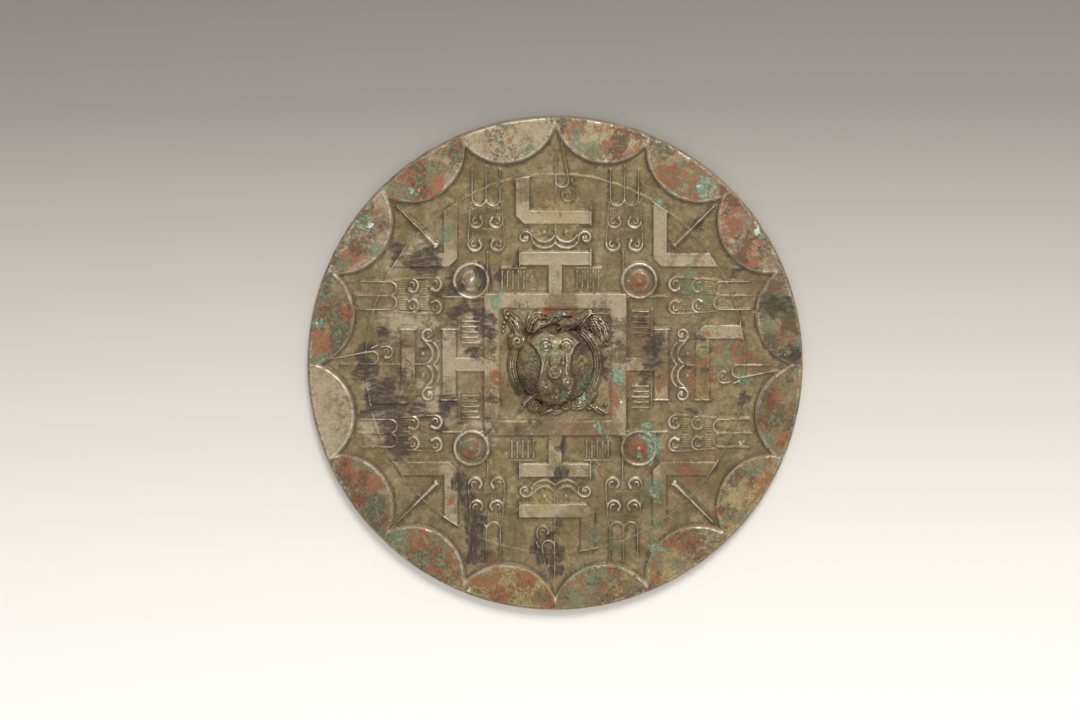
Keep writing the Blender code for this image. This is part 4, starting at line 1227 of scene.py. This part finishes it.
def knob(material):
    """The beast knob and the floor that it stands on, pierced for the cord."""
    half = square_inner + 0.35
    steps = 140
    grid = hex_grid(half * 1.5, KNOB_PITCH)
    inner = grid[np.abs(grid).max(axis=1) < half - 0.2]
    side = np.linspace(-half, half, steps, endpoint=False)
    low_wall = np.column_stack((side, np.full(steps, -half)))
    right_wall = np.column_stack((np.full(steps, half), side))
    ring = np.vstack((low_wall, right_wall, -low_wall, -right_wall))
    count = len(ring)
    points = np.vstack((inner, ring))
    faces = faces_between(points)
    form = Knob(points)
    # How far each point is sunk; the material darkens these hollows with soil and painted shade
    masks = knob_finish(points, form, np.clip(sunk_from(form.height, faces, 6) / 0.3, -1, 1))
    foot = FIELD - 1.4
    bottom = np.column_stack((ring, np.full(count, foot)))
    centre = np.array([[0.0, 0.0, foot]])
    everything = np.vstack((np.column_stack((points, form.height)), bottom, centre))
    top_ring = np.arange(len(inner), len(inner) + count)
    low_ring = np.arange(count) + len(points)
    fan = np.column_stack((np.roll(low_ring, -1), low_ring, np.full(count, len(everything) - 1)))
    faces = np.vstack((faces, band_faces(top_ring, low_ring), fan))
    masks = {name: np.r_[values, np.zeros(count + 1)] for name, values in masks.items()}
    piece = new_piece("beast_knob", everything, faces, masks, material)
    pierce(piece)
    return piece


def pierce(piece):
    """Cut the arched hole for the cord right through the knob."""
    floor = FIELD + 0.2
    half = CORD_HOLE_WIDTH / 2
    spring = floor + CORD_HOLE_HEIGHT - half
    outline = [(half, floor)] + [tuple(p) for p in arc(0.0, spring, half, 0, 180, 17)] + [(-half, floor)]
    form = bmesh.new()
    reach = KNOB_RADIUS + 0.8
    near = [form.verts.new((x * MM, -reach * MM, z * MM)) for x, z in outline]
    far = [form.verts.new((x * MM, reach * MM, z * MM)) for x, z in outline]
    form.faces.new(near)
    form.faces.new(far[::-1])
    for i in range(len(near)):
        j = (i + 1) % len(near)
        form.faces.new((near[j], near[i], far[i], far[j]))
    bmesh.ops.recalc_face_normals(form, faces=form.faces)
    mesh = bpy.data.meshes.new("cord_hole")
    form.to_mesh(mesh)
    form.free()
    cutter = bpy.data.objects.new("cord_hole", mesh)
    bpy.context.scene.collection.objects.link(cutter)
    cut = piece.modifiers.new("cord_hole", "BOOLEAN")
    cut.operation = "DIFFERENCE"
    cut.solver = "EXACT"
    cut.object = cutter
    bpy.context.view_layer.update()
    shape = bpy.data.meshes.new_from_object(piece.evaluated_get(bpy.context.evaluated_depsgraph_get()))
    piece.modifiers.clear()
    piece.data = shape
    bpy.data.objects.remove(cutter)


# The material


def srgb(code):
    """An sRGB hex colour as linear red, green, blue and alpha."""
    values = [int(code[i:i + 2], 16) / 255 for i in (1, 3, 5)]
    return [v / 12.92 if v <= 0.04045 else ((v + 0.055) / 1.055) ** 2.4 for v in values] + [1.0]


def add(tree, kind, values=None, links=None, **settings):
    """Add a node with its settings, the values of its sockets and what is linked into them."""
    node = tree.nodes.new(kind)
    for name, value in settings.items():
        setattr(node, name, value)
    for socket, value in (values or {}).items():
        node.inputs[socket].default_value = value
    for socket, source in (links or {}).items():
        tree.links.new(source, node.inputs[socket])
    return node


def mixed(tree, share, under, over):
    """One colour laid over another by a share; each colour is a link or a hex code."""
    values, links = {}, {0: share}
    for socket, colour in ((6, under), (7, over)):
        if isinstance(colour, str):
            values[socket] = srgb(colour)
        else:
            links[socket] = colour
    return add(tree, "ShaderNodeMix", values, links, data_type="RGBA").outputs[2]


def ranged(tree, value, low, high, least=0.0, most=1.0, kind="LINEAR"):
    """A value carried from one range to another and held at its ends."""
    values = {1: low, 2: high, 3: least, 4: most}
    return add(tree, "ShaderNodeMapRange", values, {0: value}, interpolation_type=kind).outputs[0]


def summed(tree, operation, *terms):
    """The result of one sum; each term is a link or a number."""
    values = {i: term for i, term in enumerate(terms) if isinstance(term, float)}
    links = {i: term for i, term in enumerate(terms) if i not in values}
    return add(tree, "ShaderNodeMath", values, links, operation=operation).outputs[0]


def noise(tree, place, size, detail, rough, **more):
    """Noise with spots of about this size in mm; more are values for a noise that drifts."""
    values = {"Scale": 1 / (size * MM), "Detail": detail, "Roughness": rough, **more}
    spread = "4D" if more else "3D"
    return add(tree, "ShaderNodeTexNoise", values, {"Vector": place}, noise_dimensions=spread).outputs["Fac"]


def new_material(name):
    """An empty node material and its tree."""
    material = bpy.data.materials.new(name)
    material.use_nodes = True
    material.node_tree.nodes.clear()
    return material, material.node_tree


# Mineral crusts in the order they lie: mask, darker and lighter colour, size of spots in mm, hiding
# share, softness of their edges
CRUSTS = [
    ("stain", "#533c2b", "#86664a", 6.5, 0.8, 0.2),
    ("ochre", "#85703f", "#b39d6a", 4.5, 0.75, 0.2),
    ("red", "#5c3624", "#a8633f", 3.2, 0.92, 0.11),
    ("green", "#43533c", "#7f8d6c", 3.4, 0.88, 0.11),
    ("verdigris", "#4f6b58", "#97b398", 2.6, 0.95, 0.12),
    ("soot", "#1a1412", "#463b33", 3.4, 0.97, 0.15),
    ("pit", "#2f241a", "#5e4b34", 1.5, 0.78, 0.1),
    ("pale", "#a8c9b1", "#e3ebdf", 1.6, 0.95, 0.06),
]


def streaks(tree, place, upright):
    """Places drawn out sideways left and right of the knob, and upwards above and below it."""
    drawn_out = []
    for scale in ((STREAK, 1.0, 1.0), (1.0, STREAK, 1.0)):
        node = add(tree, "ShaderNodeMapping", {"Scale": scale}, {"Vector": place})
        drawn_out.append(node.outputs["Vector"])
    links = {0: upright, 4: drawn_out[0], 5: drawn_out[1]}
    return add(tree, "ShaderNodeMix", None, links, data_type="VECTOR").outputs[1]


def olive_film(tree, broad, film):
    """The smooth olive ground: three tones in broad drifts, with a darker film in thin places."""
    tone = add(tree, "ShaderNodeValToRGB", None, {"Fac": broad})
    first, last = tone.color_ramp.elements
    first.position, first.color = 0.36, srgb("#6f5e3c")
    last.position, last.color = 0.66, srgb("#988566")
    tone.color_ramp.elements.new(0.5).color = srgb("#83714f")
    thin = ranged(tree, film, 0.48, 0.68, 0.0, 0.7)
    return mixed(tree, thin, tone.outputs["Color"], "#5e4f35")


def crust_layer(tree, number, place, mask):
    """One crust: how much it hides, its colour, and the speckle that breaks it up."""
    _, dark, light, spot, hiding, soft = CRUSTS[number]
    drift = 4.7 * (number + 1)
    lie = noise(tree, place, spot, 8.0, 0.66, Distortion=0.3, W=drift)
    reach = summed(tree, "MULTIPLY_ADD", lie, 2.0, mask)
    cover = ranged(tree, reach, 1.56 - soft, 1.56 + soft, 0.0, hiding, "SMOOTHSTEP")
    speck = noise(tree, place, 1.3, 7.0, 0.74, W=drift + 2)
    broken = ranged(tree, speck, 0.38, 0.56, 0.3)
    shade = ranged(tree, speck, 0.34, 0.66)
    return summed(tree, "MULTIPLY", cover, broken), mixed(tree, shade, dark, light), speck


def buried_bronze():
    """Cast high-tin bronze, long buried.

    The smooth ground keeps a dull metal gloss under an olive film. Bands and worn crests rub to a
    pale tan grey that also serves as painted highlight on crests and edges, hollows hold dark soil
    and painted shade, and matt crusts of copper minerals lie over it in spots.
    """
    material, tree = new_material("buried_tin_bronze")
    place = add(tree, "ShaderNodeTexCoord").outputs["Object"]
    mask = {}
    for name in ["bare", "crest", "hollow", "upright"] + [crust[0] for crust in CRUSTS]:
        mask[name] = add(tree, "ShaderNodeAttribute", attribute_name=name).outputs["Fac"]
    streaked = streaks(tree, place, mask["upright"])
    broad = noise(tree, place, 9.0, 6.0, 0.68)
    film = noise(tree, place, 2.4, 7.0, 0.68)
    fleck = noise(tree, place, 0.9, 5.0, 0.68)

    colour = olive_film(tree, broad, film)
    worn = summed(tree, "MULTIPLY_ADD", mask["bare"], 0.6, film)
    bare = ranged(tree, worn, 0.66, 1.0, kind="SMOOTHSTEP")
    colour = mixed(tree, bare, colour, mixed(tree, broad, "#b9a78c", "#98866a"))
    # Hollows are darkened: dark soil and painted shade
    hollow_soil_and_shade = ranged(tree, summed(tree, "MULTIPLY", mask["hollow"], film), 0.12, 0.5, 0.0, 0.6)
    colour = mixed(tree, hollow_soil_and_shade, colour, "#3f3527")
    # Crests and edges are made pale: worn metal, and painted highlight
    worn_and_lit = summed(tree, "MULTIPLY_ADD", mask["crest"], 0.75, film)
    crest = ranged(tree, worn_and_lit, 0.75, 1.2, 0.0, 0.85)
    colour = mixed(tree, crest, colour, "#cfc4b3")

    clean = None
    height = summed(tree, "MULTIPLY", fleck, 0.35)
    for number, (name, *_) in enumerate(CRUSTS):
        across = streaked if name == "soot" else place
        cover, crust, speck = crust_layer(tree, number, across, mask[name])
        colour = mixed(tree, cover, colour, crust)
        left = summed(tree, "SUBTRACT", 1.0, cover)
        clean = left if clean is None else summed(tree, "MULTIPLY", clean, left)
        raised = summed(tree, "MULTIPLY", cover, speck)
        height = summed(tree, "MULTIPLY_ADD", raised, 1.5, height)

    shift = ranged(tree, fleck, 0.3, 0.7, 0.76, 1.26)
    colour = add(tree, "ShaderNodeVectorMath", None, {0: colour, 3: shift}, operation="SCALE").outputs[0]
    shown = summed(tree, "MULTIPLY_ADD", crest, 0.35, clean)
    metal = ranged(tree, shown, 0.0, 1.3, 0.0, 0.6)
    gloss = ranged(tree, shown, 0.0, 1.3, 0.8, 0.34)
    bump = add(tree, "ShaderNodeBump", {"Strength": 0.7, "Distance": 0.2 * MM}, {"Height": height})
    skin = add(tree, "ShaderNodeBsdfPrincipled", None,
               {"Base Color": colour, "Metallic": metal, "Roughness": gloss, "Normal": bump.outputs[0]})
    add(tree, "ShaderNodeOutputMaterial", None, {"Surface": skin.outputs[0]})
    return material


def paper_with_painted_shade():
    """Matt white backdrop paper with painted shade: its colour turns from white to grey towards the top of
    the view.
    """
    material, tree = new_material("paper_with_painted_shade")
    place = add(tree, "ShaderNodeTexCoord").outputs["Object"]
    along = add(tree, "ShaderNodeSeparateXYZ", None, {0: place}).outputs["Y"]
    ramp = add(tree, "ShaderNodeValToRGB", None, {"Fac": ranged(tree, along, -0.2, 0.2)})
    # Painted shade: the paper's colour darkens towards the top of the view
    stops = ((0.0, "#fdfdfa"), (0.28, "#eee9e1"), (0.52, "#cac4bb"), (0.8, "#8e8a84"), (1.0, "#75716b"))
    for position, code in stops[1:-1]:
        ramp.color_ramp.elements.new(position).color = srgb(code)
    ramp.color_ramp.elements[0].color = srgb(stops[0][1])
    ramp.color_ramp.elements[-1].color = srgb(stops[-1][1])
    skin = add(tree, "ShaderNodeBsdfPrincipled", {"Roughness": 0.9}, {"Base Color": ramp.outputs["Color"]})
    add(tree, "ShaderNodeOutputMaterial", None, {"Surface": skin.outputs[0]})
    return material


# The stage


def floor():
    """A wide sheet of pale paper under the mirror."""
    form = bmesh.new()
    bmesh.ops.create_grid(form, x_segments=4, y_segments=4, size=3.0)
    mesh = bpy.data.meshes.new("paper_floor")
    form.to_mesh(mesh)
    form.free()
    mesh.materials.append(paper_with_painted_shade())
    sheet = bpy.data.objects.new("paper_floor", mesh)
    bpy.context.scene.collection.objects.link(sheet)


def soft_light(name, place, target, size, watts):
    """A square soft box at a place, turned towards a target."""
    lamp = bpy.data.lights.new(name, "AREA")
    lamp.size, lamp.energy = size, watts
    box = bpy.data.objects.new(name, lamp)
    box.location = place
    box.rotation_euler = (Vector(target) - Vector(place)).to_track_quat("-Z", "Y").to_euler()
    bpy.context.scene.collection.objects.link(box)


def studio():
    """Soft light from beyond the top of the view, weak fill from below it, and a pale surround."""
    soft_light("key", (0.26, 1.05, 1.12), (0, 0, 0), 0.6, 17.0)
    soft_light("fill", (-0.1, -0.9, 1.2), (0, 0, 0), 1.4, 5.4)
    world = bpy.data.worlds.new("surround")
    world.use_nodes = True
    surround = world.node_tree.nodes["Background"].inputs
    surround["Color"].default_value = srgb("#f2f2f0")
    surround["Strength"].default_value = 0.6
    bpy.context.scene.world = world
    bpy.context.scene.view_settings.view_transform = "Standard"


def camera():
    """The photograph's view: nearly straight down, a little from beyond the top edge."""
    lens = bpy.data.cameras.new("camera")
    lens.lens = 85.0
    lens.sensor_width = 36.0
    view = bpy.data.objects.new("camera", lens)
    aim = Vector((-7.05, 2.4, 4.0)) * MM
    tilt = math.radians(3.4)
    view.location = aim + Vector((0.0, math.sin(tilt), math.cos(tilt))) * 1179.5 * MM
    view.rotation_euler = (-tilt, 0.0, 0.0)
    bpy.context.scene.collection.objects.link(view)
    bpy.context.scene.camera = view


bronze = buried_bronze()
for piece in (disc(bronze), knob(bronze)):
    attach(piece, "root")
    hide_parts("bronze_mirror")
floor()
studio()
camera()
